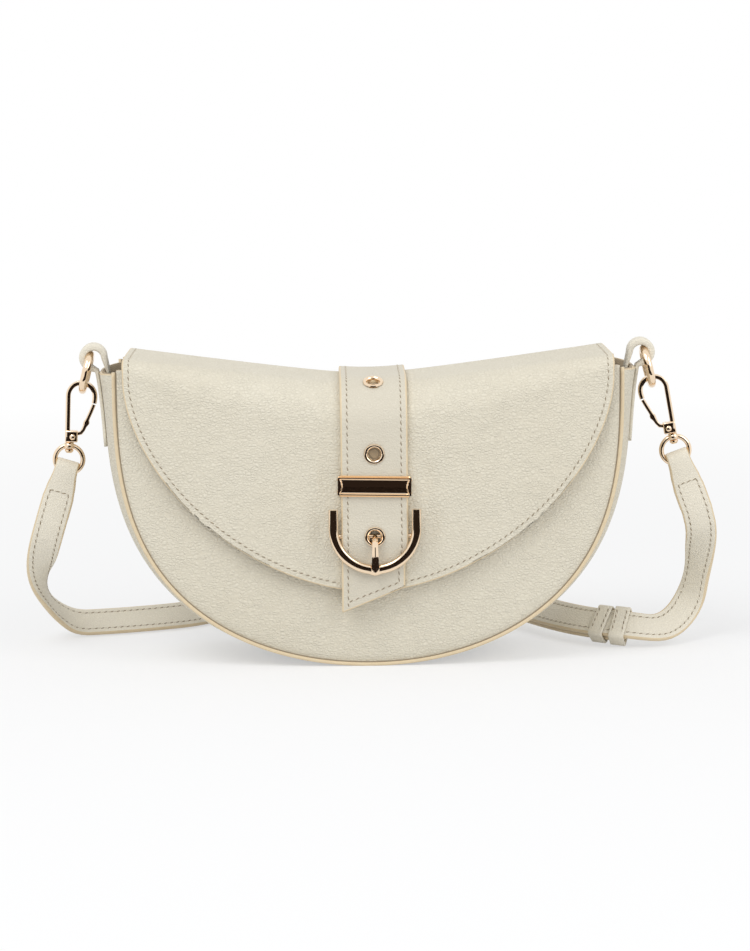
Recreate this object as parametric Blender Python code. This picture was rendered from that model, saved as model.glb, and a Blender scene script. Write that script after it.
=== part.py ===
"""Half-moon shoulder bag: flap with a buckled centre tab, and an adjustable strap on two swivel hooks.

Metres, +Z up. The front faces -Y, and +X is to the right as seen from the front.
The origin is the middle of the flat on which the bag stands.
"""

import math

import bmesh
import bpy
from mathutils import Vector

# Gaps between neighbours, and how far a cutter runs past what it cuts
FIT_GAP = 0.0003
CUT_OVERRUN = 0.004

# Bag body
PANEL_WIDTH = 0.2370
PANEL_LIFT = 0.0020
PANEL_LINE_Z = 0.1400
PANEL_SIDE_POWER = 2.05
PANEL_LOW_POWER = 3.0
PANEL_CROWN = 0.0030
PANEL_THICKNESS = 0.0016
BAG_DEPTH = 0.0660
MOUTH_DEPTH = 0.0560
BOARD_THICKNESS = 0.0008
LINING_THICKNESS = 0.0010
INNER_INSET = 0.0037
INNER_RIM_DROP = 0.0012
POCKET_WIDTH = 0.1300
POCKET_LOW_Z = 0.0420
POCKET_TOP_Z = 0.1050
POCKET_THICKNESS = 0.0010

# Gusset
GUSSET_THICKNESS = 0.0016
GUSSET_SIDE_BULGE = 0.0072
GUSSET_LOW_BULGE = 0.0050
GUSSET_FLARE = 0.0025
GUSSET_FLARE_Z = 0.1100
GUSSET_TOP_Z = 0.1385

# Flap
FLAP_SIDE_INSET = 0.0030
FLAP_LINE_Z = 0.1375
FLAP_LOW_Z = 0.0368
FLAP_POWER = 1.75
FLAP_BACK_SHARE = 0.966
FLAP_CLEAR = 0.0022
FLAP_THICKNESS = 0.0015
FLAP_LINING_THICKNESS = 0.0009
HINGE_Z = 0.1180
CREST_MID_Z = 0.1343
CREST_RISE = 0.0132
CREST_SOFTNESS = 0.0200
FRONT_ROLL_MID = 0.0200
FRONT_ROLL_SIDE = 0.0065
BACK_ROLL = 0.0120
RIM_TUCK = 0.0010
EAR_GAP = 0.0008

# Magnet
MAGNET_Z = 0.0540
MAGNET_RADIUS = 0.0085
MAGNET_HOLE_RADIUS = 0.0048
MAGNET_DOME_RADIUS = 0.0034
MAGNET_DOME_TOP_RADIUS = 0.0022
MAGNET_DOME_HEIGHT = 0.0008

# Centre tab
TAB_WIDTH = 0.0315
TAB_SHIFT = 0.0022
TAB_THICKNESS = 0.0024
TAB_TIP_Z = 0.0274
TAB_CORNER_Z = 0.0395
TAB_BACK_TURN = math.radians(50)
TAB_LIFT = 0.0014
TAB_LIFT_SPREAD = 0.0070

# Eyelets
EYELET_RADIUS = 0.0048
EYELET_HOLE_RADIUS = 0.0030
EYELET_WALL = 0.0006
EYELET_FLANGE = 0.0008
EYELET_TOP_TURN = math.radians(114)
EYELET_MIDDLE_Z = 0.1030

# Bar keeper over the tab
BAR_Z = 0.0879
BAR_HEIGHT = 0.0083
BAR_THICKNESS = 0.0018
BAR_RIM = 0.0010
BAR_SLOPE = 0.0008
BAR_RECESS = 0.0008
BAR_LEG = 0.0012

# Half-round buckle and its prong
CROSSBAR_Z = 0.0641
CROSSBAR_RADIUS = 0.0010
CROSSBAR_LEVEL = 0.0021
BUCKLE_SIDE_REACH = 0.00375
BUCKLE_BAR_WIDTH = 0.0044
BUCKLE_BAR_DEPTH = 0.0030
BUCKLE_TOP_Z = 0.0772
BUCKLE_LOW_Z = 0.0464
PRONG_WIDTH = 0.0026
PRONG_TIP_WIDTH = 0.0044
PRONG_THICKNESS = 0.0020
PRONG_EYE_WALL = 0.00045

# Ring loops and rings
LOOP_REACH = 0.0123
LOOP_Z = 0.1452
LOOP_HOLE_RADIUS = 0.0042
LOOP_BAND = 0.0026
LOOP_WIDTH = 0.0090
LOOP_LEG_THICKNESS = 0.0016
LOOP_OUTER_LEG = 0.0360
LOOP_INNER_LEG = 0.0250
RING_SHIFT = 0.0015
RING_Z = 0.1380
RING_RADIUS = 0.00875
RING_WIRE_RADIUS = 0.0019
RING_TILT = math.radians(13.5)

# Snap hooks, in each hook's own plane
HOOK_WIRE_WIDTH = 0.0023
HOOK_WIRE_DEPTH = 0.0032
HOOK_ARC_RADIUS = 0.00635
HOOK_ARC_HEIGHT = 0.0224
HOOK_SPINE_OFFSET = 0.0019
HOOK_HANG_GAP = 0.0004
HOOK_WIRE_SHIFT = 0.0004
HOOK_NOSE_LENGTH = 0.0033
HOOK_BLOCK_WIDTH = 0.0060
HOOK_BLOCK_HEIGHT = 0.0056
HOOK_BLOCK_DEPTH = 0.0044
HOOK_LEANS = {-1: math.radians(2.5), 1: math.radians(10)}
GATE_PIN_OFFSET = 0.0006
GATE_PIN_HEIGHT = 0.0026
GATE_PIN_RADIUS = 0.0006
GATE_PIN_HEAD_RADIUS = 0.0014
GATE_PIN_HEAD = 0.0004
GATE_THICKNESS = 0.0014
GATE_WIDTH = 0.0019
GATE_EYE_RADIUS = 0.0018
STEM_OFFSET = 0.0010
STEM_RADIUS = 0.0012
STEM_LENGTH = 0.0052
STEM_HEAD_RADIUS = 0.0020
STEM_HEAD = 0.0018
STEM_COLLAR_RADIUS = 0.0022
SWIVEL_RADIUS = 0.0067
SWIVEL_WIRE_RADIUS = 0.0012
SWIVEL_DROP = 0.0085
SWIVEL_BOSS_RADIUS = 0.0026
SWIVEL_BOSS_TOP = 0.0008
SWIVEL_BOSS_LENGTH = 0.0020

# Strap
STRAP_WIDTH = 0.0150
STRAP_NECK_WIDTH = 0.0088
STRAP_THICKNESS = 0.0026
STRAP_LEANS = {-1: math.radians(17), 1: math.radians(20)}
STRAP_FLOOR_LEAN = math.radians(46)
STRAP_FLOOR_GAP = 0.0001
STRAP_STATION = 0.0055
STRAP_SPAN_SHARE = 4 / 3
FOLD_RISE = 0.0023
FOLD_LENGTH = 0.0243
FOLD_CLOSING = 0.0105
FOLD_STRAIGHT = 0.0265
LAYER_GAP = 0.0006

# Adjusting buckle and keepers of the strap, placed by their distance from the right end of the route
STRAP_BUCKLE_DISTANCE = 0.2350
STRAP_BUCKLE_LENGTH = 0.0170
STRAP_BUCKLE_WIRE = 0.0011
STRAP_BUCKLE_SIDE_GAP = 0.0012
STRAP_PRONG_WIDTH = 0.0022
STRAP_HOLE_RADIUS = 0.0013
STRAP_HOLE_PITCH = 0.0200
KEEPER_WIDTH = 0.0075
KEEPER_THICKNESS = 0.0012
KEEPER_SLIDE_GAP = 0.0005
FIXED_KEEPER_DISTANCE = 0.1050
SLIDING_KEEPER_DISTANCE = 0.0952
TAIL_DISTANCE = 0.0955

# Face counts
PANEL_COLUMNS = 18
PANEL_ROWS = 6
GUSSET_STATIONS = 34
GUSSET_ROWS = 6
FLAP_COLUMNS = 18
ROUND_SIDES = 16
RING_STATIONS = 28
WIRE_SIDES = 8

KEEPER_WALL = KEEPER_SLIDE_GAP + KEEPER_THICKNESS
KEEPER_LIFT = KEEPER_WALL * math.cos(STRAP_FLOOR_LEAN)
KEEPER_LIFT += (STRAP_THICKNESS + LAYER_GAP + KEEPER_WALL) * math.sin(STRAP_FLOOR_LEAN)
PANEL_HALF = PANEL_WIDTH / 2
PANEL_DROP = PANEL_LINE_Z - PANEL_LIFT
FLAP_HALF = PANEL_HALF - FLAP_SIDE_INSET
LOOP_X = PANEL_HALF + LOOP_REACH
RING_TOP_X = LOOP_X + RING_SHIFT
STRAP_SPAN = PANEL_WIDTH * STRAP_SPAN_SHARE
BUCKLE_HALF_WIDTH = TAB_WIDTH / 2 + BUCKLE_SIDE_REACH
FLAP_STACK = FLAP_THICKNESS + FIT_GAP + FLAP_LINING_THICKNESS


def clamp(value, low=0.0, high=1.0):
    return max(low, min(high, value))


def mix(first, second, share):
    return first + (second - first) * share


def even(count):
    return [step / count for step in range(count + 1)]


# Materials and object making


def material(name, colour, roughness, metallic=0.0):
    """A plain surface: its base colour, roughness and metallic value."""
    made = bpy.data.materials.new(name)
    made.use_nodes = True
    shader = made.node_tree.nodes["Principled BSDF"]
    shader.inputs["Base Color"].default_value = (*colour, 1.0)
    shader.inputs["Roughness"].default_value = roughness
    shader.inputs["Metallic"].default_value = metallic
    made.diffuse_color = (*colour, 1.0)
    return made


def finish(name, mesh, surface):
    """Turns a bmesh into a smooth-shaded object whose faces point outwards."""
    bmesh.ops.recalc_face_normals(mesh, faces=mesh.faces)
    if mesh.calc_volume(signed=True) < 0:
        bmesh.ops.reverse_faces(mesh, faces=mesh.faces)
    data = bpy.data.meshes.new(name)
    mesh.to_mesh(data)
    mesh.free()
    data.shade_smooth()
    data.set_sharp_from_angle(angle=math.radians(35))
    data.materials.append(surface)
    made = bpy.data.objects.new(name, data)
    bpy.context.collection.objects.link(made)
    return made


def loft(name, rings, surface, wrap=False):
    """Joins rings of points into one closed solid. With wrap, the last ring joins the first."""
    mesh = bmesh.new()
    loops = [[mesh.verts.new(point) for point in ring] for ring in rings]
    pairs = list(zip(loops, loops[1:]))
    if wrap:
        pairs.append((loops[-1], loops[0]))
    for low, high in pairs:
        for index, corner in enumerate(low):
            after = (index + 1) % len(low)
            mesh.faces.new((corner, low[after], high[after], high[index]))
    if not wrap:
        mesh.faces.new(loops[0])
        mesh.faces.new(loops[-1])
    return finish(name, mesh, surface)


def sheet(name, rows, outer, inner, surface):
    """A closed shell between two offsets of a grid of (point, normal) pairs."""
    mesh = bmesh.new()
    layers = []
    for offset in (outer, inner):
        layers.append([[mesh.verts.new(point + normal * offset) for point, normal in row] for row in rows])
    last_row = len(rows) - 1
    last_column = len(rows[0]) - 1
    for low, high, flipped in ((*layers, False), (*layers, True)):
        layer = high if flipped else low
        for i in range(last_row):
            for j in range(last_column):
                corners = (layer[i][j], layer[i + 1][j], layer[i + 1][j + 1], layer[i][j + 1])
                mesh.faces.new(corners[:1] + corners[:0:-1] if flipped else corners)
    edge = [(0, j) for j in range(last_column)]
    edge += [(i, last_column) for i in range(last_row)]
    edge += [(last_row, j) for j in range(last_column, 0, -1)]
    edge += [(i, 0) for i in range(last_row, 0, -1)]
    for (i, j), (k, m) in zip(edge, edge[1:] + edge[:1]):
        mesh.faces.new((layers[0][i][j], layers[0][k][m], layers[1][k][m], layers[1][i][j]))
    return finish(name, mesh, surface)


def cut(target, cutter):
    """Cuts a hidden helper out of a piece."""
    join(target, cutter, "DIFFERENCE")


def fuse(target, addition):
    """Makes a hidden helper part of a piece."""
    join(target, addition, "UNION")


def join(target, helper, operation):
    helper.hide_render = True
    helper.display_type = "WIRE"
    change = target.modifiers.new(helper.name, "BOOLEAN")
    change.operation = operation
    change.solver = "EXACT"
    change.object = helper


class Frame:
    """A local set of axes: a across, b through, c up."""

    def __init__(self, origin, across, up):
        self.origin = Vector(origin)
        self.c = Vector(up).normalized()
        self.a = (Vector(across) - Vector(across).dot(self.c) * self.c).normalized()
        self.b = self.c.cross(self.a)

    def at(self, a=0.0, b=0.0, c=0.0):
        return self.origin + self.a * a + self.b * b + self.c * c


def turned(name, frame, profile, surface, sides=ROUND_SIDES):
    """A ring turned about a frame's c axis, from a closed profile of (radius, height) pairs."""
    rings = []
    for step in range(sides):
        turn = math.tau * step / sides
        rings.append([frame.at(r * math.cos(turn), r * math.sin(turn), h) for r, h in profile])
    return loft(name, rings, surface, wrap=True)


def stacked(name, frame, profile, surface, sides=ROUND_SIDES):
    """A solid shaft along a frame's c axis, from (radius, height) pairs in order of height."""
    turns = [math.tau * step / sides for step in range(sides)]
    rings = [[frame.at(r * math.cos(t), r * math.sin(t), h) for t in turns] for r, h in profile]
    return loft(name, rings, surface)


def box(name, frame, a, b, c, surface):
    """A block between pairs of coordinates in a frame."""
    corners = ((a[0], b[0]), (a[1], b[0]), (a[1], b[1]), (a[0], b[1]))
    rings = [[frame.at(across, through, height) for across, through in corners] for height in c]
    return loft(name, rings, surface)


def swept(name, path, binormal, halves, surface, sides=WIRE_SIDES, wrap=False):
    """A rounded bar along a path that lies in one plane, with its half sizes in and out of the plane."""
    rings = []
    count = len(path)
    for index, point in enumerate(path):
        if wrap:
            before, after = path[index - 1], path[(index + 1) % count]
        else:
            before, after = path[max(index - 1, 0)], path[min(index + 1, count - 1)]
        normal = binormal.cross(after - before).normalized()
        inside, outside = halves[index] if isinstance(halves, list) else halves
        turns = [math.tau * (step + 0.5) / sides for step in range(sides)]
        across, through = normal * inside, binormal * outside
        rings.append([point + across * math.cos(t) + through * math.sin(t) for t in turns])
    return loft(name, rings, surface, wrap=wrap)


# Outline of the body and its surfaces


def half_depth(z):
    """Half the distance between the outer faces of the panels at a height."""
    return BAG_DEPTH / 2 - (BAG_DEPTH - MOUTH_DEPTH) / 2 * clamp(z / PANEL_LINE_Z) ** 2


def outline_reach(x, z):
    """0 in the middle of a panel and 1 on its outline."""
    across = abs(x) / PANEL_HALF
    down = max(PANEL_LINE_Z - z, 0) / PANEL_DROP
    return clamp(across**PANEL_SIDE_POWER + down**PANEL_LOW_POWER)


def front_crown(x, z):
    return PANEL_CROWN * (1 - outline_reach(x, z))


def back_crown(x, z):
    """The back swells less towards the hinge, where it is straight."""
    return front_crown(x, z) * clamp((HINGE_Z - z) / (HINGE_Z / 2))


def crest_z(x):
    """Height of the flap's outer surface along its top, lowest in the middle."""
    rise = math.hypot(x, CREST_SOFTNESS) - CREST_SOFTNESS
    full = math.hypot(FLAP_HALF, CREST_SOFTNESS) - CREST_SOFTNESS
    return CREST_MID_Z + CREST_RISE * clamp(rise / full)


def front_roll(x):
    """Radius of the flap's turn over the front rim."""
    return mix(FRONT_ROLL_MID, FRONT_ROLL_SIDE, clamp((x / FLAP_HALF) ** 2))


def rim_z(x):
    return crest_z(x) - front_roll(x) + RIM_TUCK


def curve_drop(x, half, drop, side_power, low_power):
    return drop * (1 - clamp(abs(x) / half) ** side_power) ** (1 / low_power)


def panel_columns(half):
    return [half * math.sin(math.pi * (share - 0.5)) for share in even(PANEL_COLUMNS)]


def back_columns(half):
    """Columns of a back sheet: an ear at each side of the flap's hinge, and the straight top between them."""
    notch = FLAP_HALF * FLAP_BACK_SHARE + EAR_GAP
    ear = [half, mix(half, notch + EAR_GAP, 0.5), notch + EAR_GAP]
    middle = [notch * math.sin(math.pi * (share - 0.5)) for share in even(PANEL_COLUMNS - 2)]
    return [-x for x in ear] + middle + ear[::-1]


def front_top(x, drop):
    return rim_z(min(abs(x), FLAP_HALF)) - drop


def back_top(x, drop):
    straight = abs(x) <= FLAP_HALF * FLAP_BACK_SHARE + EAR_GAP * 1.5
    return (HINGE_Z if straight else rim_z(FLAP_HALF)) - drop


def panel_rows(side, inset, drop):
    """Grid of (point, normal) pairs over one panel, drawn in by an inset and lowered at the rim by a drop."""
    half = PANEL_HALF - inset
    columns = panel_columns(half) if side < 0 else back_columns(half)
    crown = front_crown if side < 0 else back_crown
    top = front_top if side < 0 else back_top

    def place(x, z):
        return Vector((x, side * (half_depth(z) + crown(x, z)), z))

    rows = []
    nudge = inset + FIT_GAP
    for x in columns:
        low = PANEL_LINE_Z - curve_drop(x, half, PANEL_DROP - inset, PANEL_SIDE_POWER, PANEL_LOW_POWER)
        row = []
        for share in even(PANEL_ROWS):
            z = mix(low, top(x, drop), share)
            point = place(x, z)
            along = place(x + nudge, z) - place(x - nudge, z)
            normal = along.cross(place(x, z + nudge) - place(x, z - nudge))
            if normal.y * side < 0:
                normal = -normal
            row.append((point, normal.normalized()))
        rows.append(row)
    return rows


def make_panel(name, side, surface):
    return sheet(name, panel_rows(side, 0, 0), 0, -PANEL_THICKNESS, surface)


def make_board(name, side, surface):
    outer = -PANEL_THICKNESS - FIT_GAP
    rows = panel_rows(side, INNER_INSET, INNER_RIM_DROP)
    return sheet(name, rows, outer, outer - BOARD_THICKNESS, surface)


def make_panel_lining(name, side, surface):
    outer = -PANEL_THICKNESS - FIT_GAP * 2 - BOARD_THICKNESS
    rows = panel_rows(side, INNER_INSET, INNER_RIM_DROP)
    return sheet(name, rows, outer, outer - LINING_THICKNESS, surface)


def make_pocket(surface):
    """A flat slip pocket sewn on the back lining."""
    depth = PANEL_THICKNESS + BOARD_THICKNESS + LINING_THICKNESS + FIT_GAP * 3
    rows = []
    for share in even(6):
        x = POCKET_WIDTH * (share - 0.5)
        row = []
        for rise in even(3):
            z = mix(POCKET_LOW_Z, POCKET_TOP_Z, rise)
            row.append((Vector((x, half_depth(z) + back_crown(x, z) - depth, z)), Vector((0, 1, 0))))
        rows.append(row)
    return sheet("slip_pocket", rows, 0, -POCKET_THICKNESS, surface)


def gusset_bulge(turn, z):
    side = mix(GUSSET_LOW_BULGE, GUSSET_SIDE_BULGE, abs(math.cos(turn)))
    return side + GUSSET_FLARE * clamp((z - GUSSET_FLARE_Z) / (PANEL_LINE_Z - GUSSET_FLARE_Z)) ** 2


def gusset_point(share, across):
    """A point of the gusset's outer surface. share runs from the right top to the left top."""
    top = mix(GUSSET_TOP_Z, PANEL_LINE_Z, across**2)
    start = math.asin(clamp((PANEL_LINE_Z - top) / PANEL_DROP) ** (PANEL_LOW_POWER / 2))
    turn = mix(start, math.pi - start, share)
    cosine, sine = math.cos(turn), max(math.sin(turn), 0)
    sign = 1 if cosine >= 0 else -1
    across_power = 2 / PANEL_SIDE_POWER
    down_power = 2 / PANEL_LOW_POWER
    x = PANEL_HALF * sign * abs(cosine) ** across_power
    z = PANEL_LINE_Z - PANEL_DROP * sine**down_power
    slope_x = sign * abs(cosine) ** (2 - across_power) * PANEL_SIDE_POWER / PANEL_HALF
    slope_z = -(sine ** (2 - down_power)) * PANEL_LOW_POWER / PANEL_DROP
    normal = Vector((slope_x, 0, slope_z)).normalized()
    reach = gusset_bulge(turn, z) * (1 - abs(across) ** 3)
    depth = half_depth(z) - PANEL_THICKNESS - FIT_GAP
    return Vector((x, across * depth, z)) + normal * reach


def gusset_rows():
    """Grid of (point, normal) pairs over the gusset."""
    nudge = 0.002
    rows = []
    for share in even(GUSSET_STATIONS):
        row = []
        for step in even(GUSSET_ROWS):
            across = 2 * step - 1
            early, late = max(share - nudge, 0), min(share + nudge, 1)
            low, high = max(across - nudge, -1), min(across + nudge, 1)
            along = gusset_point(late, across) - gusset_point(early, across)
            through = gusset_point(share, high) - gusset_point(share, low)
            normal = through.cross(along).normalized()
            outward = Vector((0, 0, PANEL_LINE_Z)) - gusset_point(share, 0)
            row.append((gusset_point(share, across), -normal if normal.dot(outward) > 0 else normal))
        rows.append(row)
    return rows


def make_gusset_layer(name, outer, inner, surface):
    """One layer of the gusset, with its underside pressed flat where the bag stands."""
    made = sheet(name, gusset_rows(), outer, inner, surface)
    half = len(made.data.vertices) // 2
    for index, vertex in enumerate(made.data.vertices):
        vertex.co.z = max(vertex.co.z, -outer if index < half else -inner)
    return made


# Flap, tab and what they carry


def flap_front_y(x, z):
    return -(half_depth(z) + front_crown(x, z) + FLAP_CLEAR + FLAP_STACK)


HINGE_Y = half_depth(HINGE_Z)


def flap_section(x, low_z, front_steps):
    """The flap's outer surface at one x, from the hinge to its front edge, as (y, z, normal) rows."""
    crest = crest_z(x)
    roll = front_roll(x)
    back_top_z = crest - BACK_ROLL
    rows = [(HINGE_Y, mix(HINGE_Z + FIT_GAP, back_top_z, share), Vector((0, 1, 0))) for share in even(1)]
    for share in even(4)[1:]:
        turn = math.pi / 2 * share
        normal = Vector((0, math.cos(turn), math.sin(turn)))
        rows.append((HINGE_Y - BACK_ROLL + BACK_ROLL * normal.y, back_top_z + BACK_ROLL * normal.z, normal))
    front_y = flap_front_y(x, crest - roll)
    for share in (1 / 3, 2 / 3):
        rows.append((mix(HINGE_Y - BACK_ROLL, front_y + roll, share), crest, Vector((0, 0, 1))))
    for share in even(6):
        turn = math.pi / 2 * (1 + share)
        normal = Vector((0, math.cos(turn), math.sin(turn)))
        rows.append((front_y + roll + roll * normal.y, crest - roll + roll * normal.z, normal))
    for share in even(front_steps)[1:]:
        z = mix(crest - roll, low_z, share)
        rows.append((flap_front_y(x, z), z, Vector((0, -1, 0))))
    return rows


ROLL_ROWS = len(flap_section(0, FLAP_LOW_Z, 1)) - 1


def flap_rows(front_steps):
    rows = []
    for share in even(FLAP_COLUMNS):
        x = FLAP_HALF * math.sin(math.pi * (share - 0.5))
        low = FLAP_LINE_Z - curve_drop(x, FLAP_HALF, FLAP_LINE_Z - FLAP_LOW_Z, FLAP_POWER, FLAP_POWER)
        row = []
        for index, (y, z, normal) in enumerate(flap_section(x, low, front_steps)):
            width = mix(FLAP_BACK_SHARE, 1, clamp(index / ROLL_ROWS))
            row.append((Vector((x * width, y, z)), normal))
        rows.append(row)
    return rows


def make_flap(surface):
    return sheet("flap", flap_rows(7), 0, -FLAP_THICKNESS, surface)


def make_flap_lining(surface):
    """The flap's lining, with a hole for the magnet stud."""
    outer = -FLAP_THICKNESS - FIT_GAP
    made = sheet("flap_lining", flap_rows(7), outer, outer - FLAP_LINING_THICKNESS, surface)
    hole = MAGNET_RADIUS + FIT_GAP
    reach = FLAP_LINING_THICKNESS + CUT_OVERRUN
    cut(made, stacked("magnet_stud_cutter", magnet_frame(), [(hole, -reach), (hole, reach)], surface))
    return made


def magnet_frame():
    """On the flap lining's inner face, with c pointing towards the front panel."""
    y = flap_front_y(0, MAGNET_Z) + FLAP_STACK
    return Frame((0, y, MAGNET_Z), (1, 0, 0), (0, 1, 0))


def make_magnet(metal):
    """The stud in the flap's lining, and the socket plate on the front panel."""
    frame = magnet_frame()
    back = -FLAP_LINING_THICKNESS + FIT_GAP / 2
    stud_profile = [
        (MAGNET_RADIUS, back),
        (MAGNET_RADIUS, 0),
        (MAGNET_DOME_RADIUS, 0),
        (MAGNET_DOME_TOP_RADIUS, MAGNET_DOME_HEIGHT),
    ]
    stacked("magnet_stud", frame, stud_profile, metal)
    low, high = FIT_GAP, FLAP_CLEAR - FIT_GAP
    socket_profile = [
        (MAGNET_HOLE_RADIUS, low),
        (MAGNET_RADIUS, low),
        (MAGNET_RADIUS, high),
        (MAGNET_HOLE_RADIUS, high),
    ]
    turned("magnet_socket", frame, socket_profile, metal)


def tab_lift(z):
    """How far the tab stands off the flap, where it passes over the buckle's crossbar."""
    return TAB_LIFT * math.exp(-(((z - CROSSBAR_Z) / TAB_LIFT_SPREAD) ** 2))


def make_tab(surface):
    """The centre tab, from the back of the top over the front to its slanted end."""
    start = next(
        index
        for index, (_, _, normal) in enumerate(flap_section(0, TAB_TIP_Z, 1))
        if math.atan2(normal.z, normal.y) >= TAB_BACK_TURN
    )
    rows = []
    for share in even(6):
        x = TAB_SHIFT + TAB_WIDTH * (share - 0.5)
        low = mix(TAB_TIP_Z, TAB_CORNER_Z, share)
        row = []
        for y, z, normal in flap_section(x, low, 22)[start:]:
            lift = FIT_GAP + (tab_lift(z) if normal.y < 0 else 0)
            row.append((Vector((x, y, z)) + normal * lift, normal))
        rows.append(row)
    return sheet("centre_tab", rows, TAB_THICKNESS, 0, surface)


def tab_frame(y, z, normal):
    """On the tab's front face, with c pointing out of it."""
    lift = FIT_GAP + TAB_THICKNESS + tab_lift(z)
    return Frame(Vector((TAB_SHIFT, y, z)) + normal * lift, (1, 0, 0), normal)


def eyelet_frames():
    crest, roll = crest_z(0), front_roll(0)
    normal = Vector((0, math.cos(EYELET_TOP_TURN), math.sin(EYELET_TOP_TURN)))
    front_y = flap_front_y(0, crest - roll)
    frames = [tab_frame(front_y + roll + roll * normal.y, crest - roll + roll * normal.z, normal)]
    for z in (EYELET_MIDDLE_Z, CROSSBAR_Z):
        frames.append(tab_frame(flap_front_y(0, z), z, Vector((0, -1, 0))))
    return frames


def make_eyelets(tab, metal):
    """Three flanged eyelets through the tab. The lowest is short, to clear the crossbar behind it."""
    barrel = EYELET_HOLE_RADIUS + EYELET_WALL
    bar_top = CROSSBAR_LEVEL + CROSSBAR_RADIUS + FIT_GAP
    short = FIT_GAP + TAB_THICKNESS + TAB_LIFT - bar_top
    depths = (TAB_THICKNESS - FIT_GAP / 2, TAB_THICKNESS - FIT_GAP / 2, short)
    for place, frame, depth in zip(("upper", "middle", "lower"), eyelet_frames(), depths):
        profile = [
            (EYELET_HOLE_RADIUS, -depth),
            (barrel, -depth),
            (barrel, FIT_GAP),
            (EYELET_RADIUS, FIT_GAP),
            (EYELET_RADIUS - EYELET_FLANGE / 2, FIT_GAP + EYELET_FLANGE),
            (EYELET_HOLE_RADIUS + EYELET_FLANGE / 4, FIT_GAP + EYELET_FLANGE),
        ]
        turned(f"eyelet_{place}", frame, profile, metal)
        hole = barrel + FIT_GAP
        ends = [(hole, -TAB_THICKNESS - CUT_OVERRUN), (hole, CUT_OVERRUN)]
        cut(tab, stacked(f"eyelet_{place}_cutter", frame, ends, metal))


def make_bar_keeper(metal):
    """A metal bar across the tab, hollowed along its front, with a leg down each side of the tab."""
    y = flap_front_y(0, BAR_Z)
    frame = Frame((TAB_SHIFT, y, BAR_Z), (1, 0, 0), (0, -1, 0))
    low = FIT_GAP * 2 + TAB_THICKNESS
    high = low + BAR_THICKNESS
    half = BAR_HEIGHT / 2
    floor_half = half - BAR_RIM - BAR_SLOPE
    leg_in = TAB_WIDTH / 2 + FIT_GAP
    leg_out = leg_in + BAR_LEG
    profile = [
        (-half, low),
        (-half, high),
        (-half + BAR_RIM, high),
        (-floor_half, high - BAR_RECESS),
        (floor_half, high - BAR_RECESS),
        (half - BAR_RIM, high),
        (half, high),
        (half, low),
    ]
    bar = loft("bar_keeper", [[frame.at(a, b, c) for b, c in profile] for a in (-leg_out, leg_out)], metal)
    for side in (-1, 1):
        across = sorted((side * leg_in, side * leg_out))
        leg = box(f"bar_leg_{side}", frame, across, (-half, half), (FIT_GAP, low + BAR_THICKNESS / 2), metal)
        fuse(bar, leg)


def buckle_frame_axes():
    """Level with the flap's surface behind the crossbar, with c pointing forwards."""
    return Frame((TAB_SHIFT, flap_front_y(0, CROSSBAR_Z), CROSSBAR_Z), (1, 0, 0), (0, -1, 0))


def buckle_level():
    """How far the middle of the buckle's front bar stands off the flap."""
    return FIT_GAP * 2 + TAB_THICKNESS + BUCKLE_BAR_DEPTH / 2 + FIT_GAP


def make_buckle(tab, metal):
    """A half-round frame in front of the tab, with a straight crossbar behind it."""
    axes = buckle_frame_axes()
    centre_z = BUCKLE_LOW_Z + BUCKLE_BAR_WIDTH / 2 + BUCKLE_HALF_WIDTH - CROSSBAR_Z
    top = BUCKLE_TOP_Z - CROSSBAR_Z
    level = buckle_level()
    path = [axes.at(-BUCKLE_HALF_WIDTH, top, level)]
    for share in even(18):
        turn = math.pi * share
        across, up = BUCKLE_HALF_WIDTH * math.cos(turn), BUCKLE_HALF_WIDTH * math.sin(turn)
        path.append(axes.at(-across, centre_z - up, level))
    path.append(axes.at(BUCKLE_HALF_WIDTH, top, level))
    halves = (BUCKLE_BAR_WIDTH / 2, BUCKLE_BAR_DEPTH / 2)
    frame = swept("buckle_frame", path, axes.c, halves, metal)
    across = Frame(axes.at(0, 0, CROSSBAR_LEVEL), (0, 0, 1), (1, 0, 0))
    ends = [(CROSSBAR_RADIUS, -BUCKLE_HALF_WIDTH), (CROSSBAR_RADIUS, BUCKLE_HALF_WIDTH)]
    fuse(frame, stacked("buckle_crossbar", across, ends, metal, sides=WIRE_SIDES))
    inside = TAB_WIDTH / 2 + BAR_LEG
    outside = BUCKLE_HALF_WIDTH + BUCKLE_BAR_WIDTH / 4
    for side in (-1, 1):
        span = sorted((side * inside, side * outside))
        rise = (CROSSBAR_LEVEL - CROSSBAR_RADIUS, level)
        fuse(frame, box(f"buckle_stub_{side}", axes, span, (-PRONG_WIDTH / 2, PRONG_WIDTH / 2), rise, metal))
    groove = CROSSBAR_RADIUS + FIT_GAP
    ends = [(groove, -TAB_WIDTH), (groove, TAB_WIDTH)]
    cut(tab, stacked("crossbar_groove", across, ends, metal, sides=WIRE_SIDES))


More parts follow.
